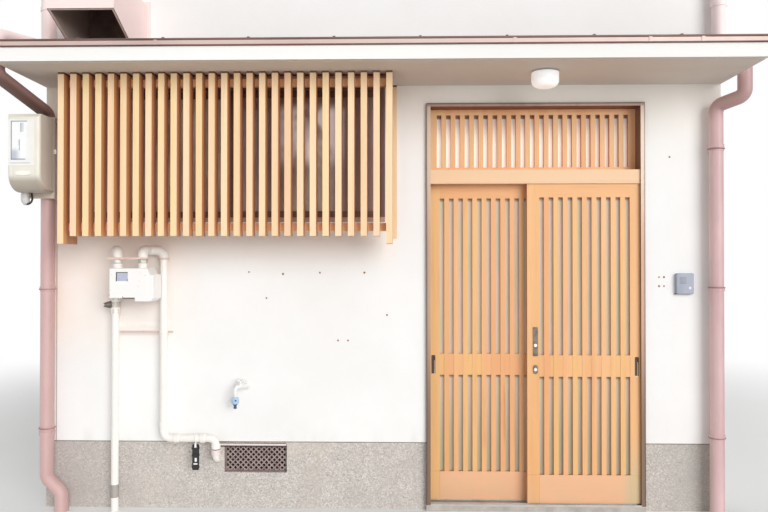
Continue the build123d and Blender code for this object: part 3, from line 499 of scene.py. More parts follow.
def leaf_wood(node, weathered=False):
    """Cypress of a sliding leaf: grain runs up the stiles and bars, and along the head and foot rails."""
    lo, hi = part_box(node)
    f = Finish(node, 0.42)
    inside = f.times(f.above(f.x, lo.x + LEAF_STILE), f.below(f.x, hi.x - LEAF_STILE))
    joint = LEAF_FOOT_RAIL
    foot_rail = f.below(f.z, joint)
    across = f.times(inside, f.larger(foot_rail, f.above(f.z, LEAF_HEAD_RAIL)))
    bands, fibres = (f.mix(across, up, along) for up, along in zip(grain(f, ALONG_Z), grain(f, ALONG_X)))
    own = f.mix(across, f.snapped(BAR_PITCH), (0.5, 0.5, 0.5, 1.0))
    face = hued(f, own, (242, 187, 132), (240, 188, 124), (240, 178, 126), ((0.02, 0.5), (0.5, 0.98)))
    # painted light and shade: faces that look to the street take the pale face tone, the others a darker side
    # tone
    f.base = f.mix(f.toward(1, -1, 0.3, 0.8), (212, 144, 92), face)
    f.tint((226, 160, 102), 0.42, f.rise(bands, 0.4, 0.72))
    f.tint((212, 148, 94), 0.32, f.rise(fibres, 0.5, 0.8))
    f.tint((190, 130, 84), 0.35, f.zone(f.z, joint - 0.004, joint + 0.002, joint, joint + 0.006))
    for seam_x in (lo.x + LEAF_STILE, hi.x - LEAF_STILE):
        f.tint((170, 112, 72), 0.5, f.calc("COMPARE", f.x, seam_x, 0.0014), foot_rail)
    f.tint((238, 188, 152), 0.7, inside, foot_rail)
    f.tint((222, 186, 148), 0.4, f.fall(f.z, 0.05, 0.24), f.patches(0.3, 0.65, 12.0, 4.0))
    if weathered:
        foot = f.times(f.rise(f.x, hi.x - 0.13, hi.x - 0.06), f.fall(f.z, 0.1, 0.5))
        f.tint((206, 192, 152), 0.75, foot, f.patches(0.25, 0.6, 5.0, 4.0, (1, 1, 0.3)))
    else:
        runs = f.patches(0.42, 0.62, 26.0, 3.0, (1, 1, 0.06))
        stain = f.times(f.zone(f.x, lo.x + 0.29, lo.x + 0.36, lo.x + 0.46, lo.x + 0.52),
                        f.zone(f.z, 0.3, 0.42, 0.58, 0.76))
        f.tint((198, 132, 76), 0.7, stain, runs)
    f.bump(fibres, 0.0005, 0.5)
    f.done(bands, 0.34, 0.54)


def chalky(f, tone, dark, dirt):
    """Weathered plastic with runs of dirt."""
    f.base = f.mix(f.patches(0.35, 0.75, 6.0, 5.0, (1, 1, 0.4)), tone, dark)
    f.tint(dark, dirt, f.patches(0.55, 0.8, 30.0, 3.0, (1, 1, 0.1)))


def plastic(name, tone, dark, rough, dirt):
    f = Finish(name, rough)
    chalky(f, tone, dark, dirt)
    f.plastic_skin(rough - 0.08, rough + 0.15)


def pipe_plastic():
    """Mauve rainwater goods with painted shade under the canopy and on their right-facing sides, painted
    light on their left-facing sides, and paler above the canopy.
    """
    f = Finish("mauve_plastic", 0.45)
    chalky(f, (226, 192, 192), (208, 170, 172), 0.3)
    left = f.below(f.x, 0.0)
    f.tint((208, 172, 166), 0.6, left)
    # painted shade on faces that look right, painted light on faces that look left
    f.tint((176, 142, 138), 0.45, f.toward(0, 1, 0.1, 0.9))
    f.tint((246, 218, 216), 0.5, f.toward(0, -1, 0.1, 0.9))
    # painted shade on the right pipe's neck under the canopy
    f.tint((164, 128, 122), 0.6, f.zone(f.z, 2.18, 2.28, 2.48, 2.56), f.minus(1.0, left))
    # painted shade on the left pipe under the canopy, darkest on the faces that look down
    under_canopy = f.times(f.zone(f.z, 2.05, 2.2, 2.48, 2.56), left)
    f.tint((140, 106, 98), 0.6, under_canopy)
    f.tint((84, 60, 50), 0.8, under_canopy, f.toward(2, -1, -0.1, 0.7))
    f.tint((255, 236, 234), f.rise(f.z, CANOPY_SOFFIT, CANOPY_SOFFIT + 0.25))
    f.plastic_skin(0.37, 0.6)


def metal(name, tone, dark, metallic, rough, spots=0.6, brushed=ALONG_Z):
    """Anodised or coated metal with fine drawing lines and a few dull spots."""
    f = Finish(name, rough, metallic)
    f.base = f.mix(f.times(f.patches(0.45, 0.8, 18.0, 4.0), spots), tone, dark)
    f.metal_skin(rough - 0.08, rough + 0.12, brushed)


def door_metal():
    """Bronze anodised door frame: pale reveal, paler at the top, with dark edges against the wall; its side
    faces and undersides carry painted shade.
    """
    lo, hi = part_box("door_frame")
    f = Finish("bronze_aluminium", 0.42, 0.3)
    from_side = f.from_sides(f.x, lo.x, hi.x)
    below_head = f.below(f.z, hi.z - 0.02)
    f.base = f.mix(f.patches(0.45, 0.8, 18.0, 4.0, ALONG_Z), (168, 144, 132), (150, 124, 112))
    f.tint((200, 162, 128), 0.7, f.rise(from_side, 0.008, 0.014), below_head)
    f.tint((206, 188, 172), 0.75, f.rise(f.z, 1.45, 2.0), below_head)
    f.tint((108, 88, 76), 0.75, f.fall(f.z, 0.45, 1.15))
    f.tint((88, 68, 60), 0.75, f.larger(f.below(from_side, 0.0045), f.above(f.z, hi.z - 0.008)))
    # painted shade on the faces that look sideways, such as the jambs' reveals
    f.tint((116, 86, 76), 0.85, f.larger(f.toward(0, 1, 0.5, 0.8), f.toward(0, -1, 0.5, 0.8)))
    # painted shade on the faces that look down, in dark red-brown
    f.tint((128, 62, 48), f.toward(2, -1, 0.4, 0.8))
    f.metal_skin(0.34, 0.54)


def sash_metal():
    """Dark brown anodised window frames; the street window's low rail is dusty and paler."""
    f = Finish("brown_aluminium", 0.36, 0.35)
    f.base = f.mix(f.times(f.patches(0.45, 0.8, 18.0, 4.0), 0.6), (122, 92, 80), (96, 70, 60))
    foot, top = WINDOW_RAIL
    dusty = f.times(f.below(f.z, top), f.below(f.y, 0.0), f.rise(f.z, foot, foot + 0.005))
    f.tint((214, 172, 156), 0.75, dusty)
    f.metal_skin(0.28, 0.48)


def lock_metal():
    """Worn bronze plates; the cylinders that stand proud of them are bright."""
    f = Finish("dark_metal", 0.34, 0.5)
    f.base = f.mix(f.patches(0.4, 0.7, 40.0, 4.0), (132, 122, 112), (100, 90, 82))
    f.tint((244, 240, 232), f.below(f.y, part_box("door_lock")[0].y + 0.0035))
    f.bump(f.noise(400.0, 2.0, ALONG_X), 0.0001, 0.4)
    f.done(f.noise(60.0), 0.26, 0.46)


def meter_plastic():
    """Ivory cover of the electric meter; its oval boss is cleaner and paler, and its chin is painted in
    shade.
    """
    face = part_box("electric_meter")[0].y + 0.005
    f = Finish("ivory_plastic", 0.34)
    f.base = f.mix(f.patches(0.4, 0.75, 5.0, 5.0, (1, 1, 0.5)), (238, 235, 224), (228, 224, 210))
    f.tint((196, 188, 170), 0.22, f.patches(0.58, 0.8, 24.0, 3.0, (1, 1, 0.1)))
    f.tint((250, 249, 240), f.below(f.y, face - 0.0005))
    # painted shade on the faces of the chin that look down
    f.tint((168, 156, 140), 0.75, f.toward(2, -1, 0.02, 0.5), f.above(f.y, face + 0.0005))
    f.plastic_skin(0.28, 0.45)


def clear_glass():
    """Window panes with painted pale cloudy reflections; the transom's pane is frosted and glows as if lit
    from behind.
    """
    lo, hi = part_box("transom_lattice")
    f = Finish("clear_glass", 0.08, Specular_IOR_Level=0.6)
    clouds = f.noise(1.9, 4.0, (1.4, 1, 0.45), 0.6)
    street = f.times(f.below(f.y, 0.0), f.below(f.z, UPPER_STOREY))
    # painted reflections: the street pane's colour drifts to pale cloudy patches
    pane = f.mix(street,
                 f.ramp(clouds, (0.3, (138, 142, 142)), (0.5, (164, 168, 166)), (0.7, (196, 198, 194))),
                 f.ramp(clouds, (0.36, (180, 150, 140)), (0.48, (208, 184, 172)), (0.58, (255, 246, 230))))
    # painted shadow of the head rail: a dark band across the top of the transom's pane
    rail_shadow = f.rise(f.z, hi.z - 0.052, hi.z - 0.046)
    f.base = f.clouds((244, 240, 226), (253, 251, 243), 3.0, 3.0)
    # painted shade: greyer toward the top and the right end of the transom's pane
    upper = f.times(f.rise(f.z, hi.z - 0.2, hi.z - 0.05), 0.6)
    f.tint((206, 194, 184), f.larger(upper, f.times(f.rise(f.x, hi.x - 0.5, hi.x), 0.5)))
    f.tint((120, 96, 58), 0.85, rail_shadow)
    frost = f.base
    over_door = f.times(f.above(f.x, lo.x - 0.02), f.below(f.x, hi.x + 0.02),
                        f.below(f.y, FRONT + 0.2), f.below(f.z, hi.z + 0.02))
    f.base = f.mix(over_door, pane, frost)
    # painted reflection: a pale patch on the street pane that glows
    patch = f.times(f.zone(f.x, -0.66, -0.5, -0.28, -0.18), f.zone(f.z, 1.93, 2.06, 2.26, 2.34), street,
                    f.patches(0.3, 0.5, 7.0, 3.0, (1, 1, 0.6)), 0.34)
    # painted light: the transom's pane glows as if lit from behind, less toward its top
    lit = f.minus(0.42, f.times(f.rise(f.z, hi.z - 0.2, hi.z - 0.03), 0.26))
    lit = f.times(lit, over_door, f.minus(1.0, rail_shadow))
    f.shade("Emission Color", f.mix(over_door, (0.72, 0.64, 0.61, 1.0), frost))
    f.shade("Emission Strength", f.larger(lit, patch))
    f.shade("Transmission Weight", f.times(f.minus(1.0, over_door), 0.25))
    f.bump(f.noise(2.5, 2.0), 0.002, 0.15)
    f.done(over_door, 0.07, 0.5)


def frosted_glass():
    """Pale frosted panes behind the bars, glowing faintly as if lit from behind, with painted shade of the
    rail across the top of each.
    """
    # painted light: the panes glow faintly, as if lit from behind
    f = Finish("frosted_glass", 0.42, Transmission_Weight=0.1, Emission_Strength=0.16)
    pane_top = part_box("left_leaf_glass")[1].z
    f.base = f.ramp(f.noise(2.6, 3.0, (3.0, 1, 0.5)),
                    (0.3, (206, 200, 168)), (0.5, (216, 198, 180)), (0.7, (196, 196, 166)))
    f.tint((166, 162, 134), 0.6, f.fall(f.z, 0.25, LEAF_MIDDLE_RAIL + 0.02))
    # painted shadow of the rails: dark bands across the top of each pane and under the middle rail
    rail = f.times(f.rise(f.z, LEAF_MIDDLE_RAIL - 0.024, LEAF_MIDDLE_RAIL - 0.006),
                   f.below(f.z, LEAF_MIDDLE_RAIL + 0.02))
    f.tint((120, 92, 62), 0.75, f.larger(f.rise(f.z, pane_top - 0.034, pane_top - 0.016), rail))
    f.shade("Emission Color", f.base)
    f.bump(f.noise(900.0, 2.0), 0.0004, 0.6)
    f.done()


def roof_tile():
    """Smoked clay: blue-grey, each tile a little different, with a dry dusty bloom."""
    f = Finish("roof_tile", 0.5)
    column = f.calc("FLOOR", f.calc("DIVIDE", f.minus(f.x, tiles_lo.x), COLUMN_WIDTH))
    from_eaves = f.minus(TILE_EDGE + 0.001, f.calc("ABSOLUTE", f.y))
    course = f.calc("FLOOR", f.calc("DIVIDE", from_eaves, COURSE))
    cell = f.add("CombineXYZ", {0: column, 1: course, 2: f.calc("SIGN", f.y)}).outputs[0]
    f.base = f.ramp(f.random_at(cell), (0.0, (96, 100, 106)), (0.5, (108, 112, 118)), (1.0, (121, 124, 129)))
    f.tint((146, 146, 142), 0.45, f.patches(0.5, 0.8, 9.0, 6.0))
    f.bump(f.noise(120.0, 4.0), 0.0006, 0.5)
    f.done(f.noise(15.0, 4.0), 0.36, 0.62)


def boards(name, tone, dark, along, width, axis):
    """Planks with dark joints."""
    f = Finish(name, 0.6)
    bands, fibres = grain(f, along)
    joint = f.below(f.calc("FRACT", f.calc("DIVIDE", f.axes[axis], width)), 0.03)
    f.base = f.mix(f.rise(bands, 0.35, 0.75), tone, dark)
    f.tint((40, 28, 20), joint)
    f.bump(f.minus(fibres, joint), 0.001, 0.6)
    f.done()


def canopy_paint():
    """Painted board: white on the fascia, beige-grey and stained underneath."""
    f = Finish("canopy_board", 0.7)
    f.base = f.clouds((206, 196, 184), (216, 206, 196), 1.3, 5.0)
    f.tint((180, 158, 142), 0.3, f.patches(0.55, 0.8, 4.0, 5.0, (0.3, 1, 1)))
    fascia = f.clouds((243, 241, 237), (251, 250, 248), 2.0, 5.0, (0.4, 1, 1))
    f.base = f.mix(f.toward(2, -1, 0.4, 0.8), fascia, f.base)
    f.bump(f.noise(40.0, 5.0), 0.0008, 0.4)
    f.done()


def coated_sheet(name, tone, dark):
    """Coated steel sheet, a little buckled."""
    f = Finish(name, 0.42, 0.15)
    f.base = f.mix(f.patches(0.4, 0.75, 5.0, 6.0, (0.3, 1, 1)), tone, dark)
    f.bump(f.noise(3.0, 3.0), 0.002, 0.25)
    f.done(f.noise(12.0, 4.0), 0.34, 0.56)


def cover_plastic():
    """Opal cover of the light; it glows faintly though the lamp is off, and its base ring is greyer."""
    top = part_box("ceiling_light")[1].z
    # painted light: the cover glows faintly though the lamp is off
    f = Finish("opal_cover", 0.22, Subsurface_Weight=0.2, Emission_Strength=0.3)
    ring = f.rise(f.z, top - 0.0105, top - 0.0095)
    white = f.clouds((251, 250, 248), (254, 254, 253), 12.0)
    f.base = f.mix(ring, white, (188, 184, 178))
    f.shade("Emission Color", f.mix(ring, white, (90, 88, 86)))
    f.bump(f.noise(60.0, 2.0), 0.0002, 0.3)
    f.done()


def cast_grille():
    """Painted casting of the underfloor vent, with a darker frame."""
    lo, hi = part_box("vent_grille")
    f = Finish("cast_grille", 0.7, 0.1)
    f.base = f.mix(f.patches(0.4, 0.7, 40.0, 5.0), (170, 152, 148), (136, 118, 114))
    from_edge = f.calc("MINIMUM", f.from_sides(f.x, lo.x, hi.x), f.from_sides(f.z, lo.z, hi.z))
    f.tint((104, 88, 86), 0.8, f.fall(from_edge, 0.006, 0.009))
    f.bump(f.noise(300.0, 3.0), 0.0005, 0.6)
    f.done()


def shaded_lining():
    """Sheet inside the hood, painted dark as in the shade of its hollow; the face that looks to the right is
    painted paler, as lit.
    """
    f = Finish("hood_lining", 0.6)
    f.base = f.mix(f.patches(0.4, 0.7, 6.0, 4.0), (140, 116, 106), (104, 86, 78))
    # painted light on the face that looks to the right
    f.tint((214, 194, 182), f.toward(0, 1, 0.3, 0.8))
    f.bump(f.noise(80.0), 0.0004, 0.5)
    f.done()


# Metals: name, tone, tone of the dull spots, metallic, roughness, amount of spots and way of the lines
METALS = (
    ("plain_aluminium", (206, 204, 200), (172, 168, 162), 0.6, 0.35, 0.6, ALONG_X),
    ("pale_enamel", (255, 230, 226), (250, 220, 214), 0.0, 0.42, 0.3),
    ("white_enamel", (250, 249, 247), (242, 240, 236), 0.0, 0.36, 0.3),
    ("white_pipe", (249, 246, 240), (238, 230, 220), 0.0, 0.42, 0.35),
    ("tap_metal", (240, 239, 237), (206, 203, 200), 0.2, 0.28),
    ("hood_rim", (242, 220, 210), (222, 196, 186), 0.0, 0.42),
    ("hood_rim_line", (128, 96, 92), (104, 76, 74), 0.0, 0.5),
    ("vent_screen", (74, 60, 56), (46, 38, 36), 0.0, 0.8),
    ("vent_lintel", (236, 222, 216), (220, 204, 196), 0.0, 0.6),
    ("screw_rust", (150, 112, 88), (112, 80, 62), 0.1, 0.6),
    ("dark_trim", (72, 64, 62), (48, 42, 40), 0.1, 0.5),
    ("white_trim", (250, 249, 247), (240, 238, 234), 0.0, 0.36, 0.3),
    ("gas_display", (190, 194, 214), (162, 168, 194), 0.0, 0.2),
    ("bronze_strap", (232, 206, 194), (204, 170, 154), 0.0, 0.45),
    ("low_strap", (222, 196, 188), (190, 160, 152), 0.0, 0.45),
    ("union_nut", (200, 202, 190), (168, 170, 156), 0.2, 0.45),
    ("valve_body", (214, 206, 198), (176, 168, 160), 0.2, 0.45),
    ("valve_knob", (112, 106, 98), (78, 72, 66), 0.3, 0.4),
    ("riser_sleeve", (176, 170, 164), (150, 144, 138), 0.2, 0.5),
    ("gas_entry_cap", (240, 226, 224), (220, 202, 200), 0.0, 0.45),
    ("intercom_button", (226, 228, 236), (206, 208, 220), 0.0, 0.3),
    ("meter_cover", (244, 243, 238), (232, 230, 222), 0.0, 0.3, 0.3),
    ("meter_frame", (146, 152, 172), (118, 124, 146), 0.0, 0.4),
    ("dial_marks", (168, 168, 180), (140, 142, 156), 0.0, 0.4),
    ("meter_seam", (168, 164, 150), (146, 142, 128), 0.0, 0.4),
    ("pull_cup", (92, 66, 52), (64, 44, 34), 0.3, 0.38),
    # pale metal of the pulls' painted highlights
    ("pull_rim", (238, 222, 200), (206, 184, 160), 0.3, 0.32),
)

# Plastics: name, tone, tone of the dirt, roughness and amount of dirt
PLASTICS = (
    ("grey_plastic", (168, 174, 190), (146, 152, 168), 0.4, 0.15),
    ("board_plastic", (222, 212, 198), (196, 184, 168), 0.55, 0.3),
    ("black_rubber", (46, 42, 44), (30, 28, 30), 0.55, 0.2),
    ("coupling_plastic", (188, 214, 240), (164, 194, 226), 0.35, 0.15),
    ("coupling_ring", (74, 104, 140), (58, 84, 118), 0.4, 0.15),
    ("conduit_plastic", (238, 236, 234), (206, 204, 204), 0.4, 0.2),
    ("ring_plastic", (182, 142, 144), (158, 118, 120), 0.45, 0.3),
)

for make in (
    plaster, pebbles, concrete, canopy_paint, roof_tile, pipe_plastic, door_metal, sash_metal, lock_metal,
    clear_glass, frosted_glass, cast_grille, cover_plastic, meter_plastic, shaded_lining,
):
    make()
boards("floor_wood", (176, 136, 96), (140, 100, 64), ALONG_Y, 0.12, 0)
boards("roof_wood", (150, 112, 78), (112, 78, 50), ALONG_X, 0.15, 1)
coated_sheet("brown_sheet", (128, 98, 88), (98, 72, 64))
coated_sheet("drip_strip", (216, 194, 186), (202, 176, 168))
cypress("cypress", (251, 222, 182), (226, 164, 108), (232, 178, 124), ALONG_Z, SLAT_PITCH,
        ((249, 220, 168), (250, 214, 180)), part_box("lattice_slats")[0].y + 0.022)
cypress("transom_lattice", (246, 192, 140), (216, 146, 96), (230, 158, 102), ALONG_Z, BAR_PITCH,
        ((245, 195, 140), (243, 186, 134)))
cypress("lattice_rails", (255, 206, 158), (240, 182, 134), (226, 164, 118), ALONG_X)
cypress("transom_bar", (240, 202, 162), (214, 146, 94), (232, 178, 130), ALONG_X)
leaf_wood("left_leaf")
leaf_wood("right_leaf", weathered=True)
for row in METALS:
    metal(*row)
for row in PLASTICS:
    plastic(*row)

# A node has the material of its own name, or else the one of its slot
for row in frame["record"]["subparts"]:
    data = frame["nodes"][row["node"]].data
    data.materials.clear()
    data.materials.append(MATERIALS.get(row["node"]) or MATERIALS[row["material_slot"]])

# Roof tiles

TILE_SHARES = [i / TILE_SEGMENTS for i in range(TILE_SEGMENTS + 1)]


def tile_wave(share):
    """Height of the tile's face across its width: a wide valley, then a round roll."""
    if share < TILE_VALLEY_SHARE:
        return -TILE_VALLEY * math.sin(math.pi * share / TILE_VALLEY_SHARE)
    return TILE_ROLL * math.sin(math.pi * (share - TILE_VALLEY_SHARE) / (1 - TILE_VALLEY_SHARE))


def tile(mesh, side, course, column):
    """One pantile as a thin curved slab; side is -1 on the street slope and 1 at the back."""
    x0 = tiles_lo.x + column * COLUMN_WIDTH
    low = TILE_EDGE - course * COURSE
    high = max(low - COURSE - OVERLAP, 0.02)
    jog = random.uniform(-0.0012, 0.0012)
    rings = []
    for away, lift in ((low, TILE_LIFT_LOW), (high, TILE_LIFT_HIGH)):
        base = roof_line(away, DECK_THICKNESS + lift + jog)
        top = [(x0 + s * COLUMN_WIDTH, side * away, base + tile_wave(s)) for s in TILE_SHARES]
        rings.append(top + [(x, y, z - TILE_THICKNESS) for x, y, z in reversed(top)])
    mesh.loft(rings)


def eaves_apron(mesh, side, column):
    """Lip that hangs from an eaves tile, with the plain round end of its roll."""
    x0 = tiles_lo.x + column * COLUMN_WIDTH
    base = roof_line(TILE_EDGE, DECK_THICKNESS + TILE_LIFT_LOW)
    upper = [(x0 + s * COLUMN_WIDTH, base + tile_wave(s) - 0.002) for s in TILE_SHARES]
    lower = [(x0 + s * COLUMN_WIDTH, base + 0.4 * tile_wave(s) - 0.052) for s in reversed(TILE_SHARES)]
    mesh.loft([[(x, side * y, z) for x, z in upper + lower] for y in (TILE_EDGE, TILE_EDGE - TILE_THICKNESS)])
    roll = (x0 + COLUMN_WIDTH * (1 + TILE_VALLEY_SHARE) / 2, side * TILE_EDGE, base - 0.012)
    mesh.turned(roll, (0, -side, 0), ((0.0, 0.032), (0.004, 0.036), (0.03, 0.036)))


def verge_plate(mesh, side, course, end):
    """Side lip of a verge tile; end is -1 at the left and 1 at the right."""
    low = TILE_EDGE - course * COURSE
    high = max(low - COURSE - 0.02, 0.02)
    outline = [
        (side * low, roof_line(low, DECK_THICKNESS + TILE_LIFT_LOW)),
        (side * high, roof_line(high, DECK_THICKNESS + TILE_LIFT_HIGH + 0.006)),
        (side * high, roof_line(high, 0.012)),
        (side * low, roof_line(low, 0.0)),
    ]
    mesh.prism(outline, end * tiles_hi.x, end * (tiles_hi.x - TILE_THICKNESS))


for side, label in ((-1, "street"), (1, "back")):
    slope = Mesh()
    for course in range(TILE_COURSES):
        for column in range(COLUMNS):
            tile(slope, side, course, column)
        for end in (-1, 1):
            verge_plate(slope, side, course, end)
    for column in range(COLUMNS):
        eaves_apron(slope, side, column)
    slope.finish(f"tiles_{label}_slope", "roof_tile", smooth=40, replaces=("roof_tiles",))

# Ridge: courses of flat tiles under a round cap, with an arched tile at each end

ridge_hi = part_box("roof_ridge")[1]
FLAT_COURSES = 4
FLAT_LENGTH = 0.3
FLAT_JOINT = 0.003
FLAT_HALF = 0.128
FLAT_STEP = 0.009
FLAT_END = ridge_hi.x - 0.03
CAP_RADIUS = 0.085
CAP_COLLAR = 0.095
CAP_LENGTH = 0.3
CAP_END = ridge_hi.x - 0.05
ARCH = 0.135
END_HALF = 0.17
flat_foot = roof_line(0.13, DECK_THICKNESS + 0.03)
flat_top = ridge_hi.z - CAP_RADIUS - 0.012
flat_height = (flat_top - flat_foot) / FLAT_COURSES
ridge = Mesh()
for level in range(FLAT_COURSES):
    half = FLAT_HALF - FLAT_STEP * level
    low = flat_foot + level * flat_height
    for i in range(-1, 14):
        start = FLAT_LENGTH * (i + 0.5 * (level % 2)) - FLAT_END
        x0, x1 = max(start, -FLAT_END), min(start + FLAT_LENGTH - FLAT_JOINT, FLAT_END)
        if x1 - x0 > 0.02:
            ridge.box((x0, -half, low), (x1, half, low + flat_height - 0.005), 0.005)
ridge.finish("ridge_flat_tiles", "roof_tile")

cap = Mesh()
caps = round(2 * CAP_END / CAP_LENGTH)
step = 2 * CAP_END / caps
for i in range(caps):
    rings = []
    for share, radius in ((0, CAP_RADIUS), (0.82, CAP_RADIUS), (0.84, CAP_COLLAR), (0.998, CAP_COLLAR)):
        x = (i + share) * step - CAP_END
        rings.append([(x, y, z) for y, z in arc(0.0, flat_top, radius, 0, 1, 16)])
    cap.loft(rings)
cap.finish("ridge_cap_tiles", "roof_tile", replaces=("roof_ridge",))

ends = Mesh()
foot = roof_line(END_HALF, DECK_THICKNESS + 0.055)
arch = arc(0.0, ridge_hi.z - ARCH, ARCH, 0, 1, 24, ARCH - 0.001)
outline = [(END_HALF, foot), (END_HALF - 0.005, foot + 0.05), *arch,
           (0.005 - END_HALF, foot + 0.05), (-END_HALF, foot)]
boss = [(y * 0.78, foot + (z - foot) * 0.8 + 0.02) for y, z in outline]
for end in (-1, 1):
    ends.prism(outline, end * (ridge_hi.x - 0.05), end * (ridge_hi.x - 0.008))
    ends.prism(boss, end * (ridge_hi.x - 0.01), end * ridge_hi.x)
ends.finish("ridge_end_tiles", "roof_tile")

# Rafters, fascia boards and gutter brackets under the eaves

RAFTER_TIP = DECK_EDGE - 0.022
count = int((wall_hi.x - wall_lo.x) / RAFTER_PITCH)
span = wall_hi.x - wall_lo.x - RAFTER_WIDTH
top = roof_line(DECK_EDGE)
rafters, fascia = Mesh(), Mesh()
for side in (-1, 1):
    outline = [
        (side * BACK, roof_line(BACK)),
        (side * RAFTER_TIP, roof_line(RAFTER_TIP)),
        (side * RAFTER_TIP, roof_line(RAFTER_TIP) - RAFTER_HEIGHT * 0.8),
        (side * BACK, roof_line(BACK) - RAFTER_HEIGHT),
    ]
    for i in range(count + 1):
        x0 = wall_lo.x + span * i / count
        rafters.prism(outline, x0, x0 + RAFTER_WIDTH)
    near, far = sorted((side * RAFTER_TIP, side * DECK_EDGE))
    fascia.box((deck_lo.x, near, top - 0.07), (deck_hi.x, far, top + 0.004), 0.002)
rafters.finish("rafters", "roof_wood")
fascia.finish("eaves_fascia", "roof_wood")

gutter_lo, gutter_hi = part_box("gutters")
GUTTER_RADIUS = 0.055
GUTTER_FLANGE = 0.034
BRACKETS = 7
gutter_rim = gutter_hi.z - GUTTER_FLANGE / 2
brackets = Mesh()
for side in (-1, 1):
    centre = side * (DECK_EDGE + GUTTER_RADIUS)
    hoop = (arc(centre, gutter_rim, GUTTER_RADIUS + 0.0042, 1.13, 1.87, 16)
            + arc(centre, gutter_rim, GUTTER_RADIUS + 0.0002, 1.87, 1.13, 16))
    for i in range(BRACKETS):
        x0 = gutter_lo.x + 0.2 + i * (gutter_hi.x - gutter_lo.x - 0.42) / (BRACKETS - 1)
        brackets.prism(hoop, x0, x0 + 0.02)
brackets.finish("gutter_brackets", "mauve_plastic")

# Canopy sheet: folded edge with a bead above and a hem below, and raised seams on top

sheet_lo, sheet_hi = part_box("canopy_roofing")
BEAD = 0.0065
HEM = 0.0035
edge_y = sheet_lo.y + 0.012
edge_top = sheet_lo.z + 0.04
sheet = Mesh()
sheet.prism([(FRONT, sheet_lo.z), (FRONT, sheet_hi.z), (edge_y, edge_top - 0.004), (edge_y, sheet_lo.z)],
            sheet_lo.x, sheet_hi.x)
seams = round((sheet_hi.x - sheet_lo.x) / SEAM_PITCH)
for i in range(1, seams):
    x = sheet_lo.x + i * (sheet_hi.x - sheet_lo.x) / seams
    sheet.prism([(FRONT, sheet_hi.z), (FRONT, sheet_hi.z + 0.014), (edge_y + 0.004, edge_top + 0.008),
                 (edge_y, edge_top - 0.004)], x - 0.006, x + 0.006)
sheet.box((sheet_lo.x, FRONT - 0.004, sheet_hi.z), (sheet_hi.x, FRONT, sheet_hi.z + 0.06), 0.001)
for radius, z, sides in ((BEAD, edge_top - BEAD, 16), (HEM, sheet_lo.z + HEM, 12)):
    sheet.tube([(x, sheet_lo.y + radius, z) for x in (sheet_lo.x, sheet_hi.x)], radius, sides)
sheet.finish("canopy_sheet", "brown_sheet", replaces=("canopy_roofing",))

STRIP_CLIPS = (-1.108, 0.681, 1.346, 1.603)
blocks("canopy_drip_strip", "brown_sheet", "drip_strip", (0, sheet_lo.y, sheet_lo.z),
       (0.004, 0.0125, 0.001, (sheet_lo.x, sheet_hi.x, 0.006, 0.029)),
       (0.001, 0.006, 0.001, *[(x - 0.009, x + 0.009, 0.004, 0.036) for x in STRIP_CLIPS]))

# Lining of the exhaust hood, and the rim of its mouth

hood_lo, hood_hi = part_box("exhaust_hood")
HOOD_FLANGE = 0.022
HOOD_SKIN = 0.0052
HOOD_SLOPE = 0.03
HOOD_LIP_RISE = 0.139
HOOD_MOUTH = 0.31
LINING = 0.0015
RIM_WIDTH = 0.013
hood_x = (hood_lo.x + HOOD_FLANGE, hood_hi.x - HOOD_FLANGE)
hood_top = hood_hi.z - HOOD_FLANGE
mouth_front = (hood_lo.y, hood_lo.z + HOOD_LIP_RISE)
throat = [
    (FRONT - HOOD_SKIN, hood_lo.z + HOOD_SKIN),
    (FRONT - HOOD_SKIN, hood_top - HOOD_SKIN),
    (hood_lo.y + HOOD_SLOPE + HOOD_SKIN, hood_top - HOOD_SKIN),
    (hood_lo.y + HOOD_SKIN, mouth_front[1] + 0.004),
    (hood_lo.y + HOOD_MOUTH + 0.004, hood_lo.z + HOOD_SKIN),
]
inner_x = (hood_x[0] + HOOD_SKIN, hood_x[1] - HOOD_SKIN)
lining = Mesh()
for x in (inner_x[0], inner_x[1] - LINING):
    lining.prism(throat, x, x + LINING)
for (y0, z0), (y1, z1) in zip(throat[:3] + throat[4:], throat[1:4] + throat[:1]):
    length = math.hypot(y1 - y0, z1 - z0)
    dy, dz = (z1 - z0) / length * LINING, -(y1 - y0) / length * LINING
    lining.prism([(y0, z0), (y1, z1), (y1 - dy, z1 - dz), (y0 - dy, z0 - dz)], *inner_x)
lining.finish("hood_lining", "pale_enamel", "hood_lining")

mouth = Vector((0, HOOD_MOUTH, -HOOD_LIP_RISE))
down = mouth.normalized()
outward = Vector((1, 0, 0)).cross(down)


def mouth_corner(inset, right, low):
    """Point on the mouth's plane, in from one of its corners."""
    x = hood_x[1] - inset if right else hood_x[0] + inset
    return Vector((x, *mouth_front)) + down * (mouth.length - inset if low else inset)


def mouth_frame(near, far, under, over):
    """Mitred frame round the hood's mouth, between two distances in from its edge and two off its plane."""
    made = Mesh()
    corners = ((0, 0), (1, 0), (1, 1), (0, 1))
    for a, b in zip(corners, corners[1:] + corners[:1]):
        quad = [mouth_corner(near, *a), mouth_corner(near, *b), mouth_corner(far, *b), mouth_corner(far, *a)]
        made.loft([[q + outward * height for q in quad] for height in (under, over)])
    return made


mouth_frame(0.003, RIM_WIDTH, -0.0003, 0.003).finish("hood_rim", "pale_enamel", "hood_rim")
mouth_frame(0.0002, 0.003, -0.0006, 0.0015).finish("hood_rim_line", "pale_enamel", "hood_rim_line")

# Screen behind the underfloor vent, with a dark back plate for painted shade, and the lintel over it with
# painted shadow lines

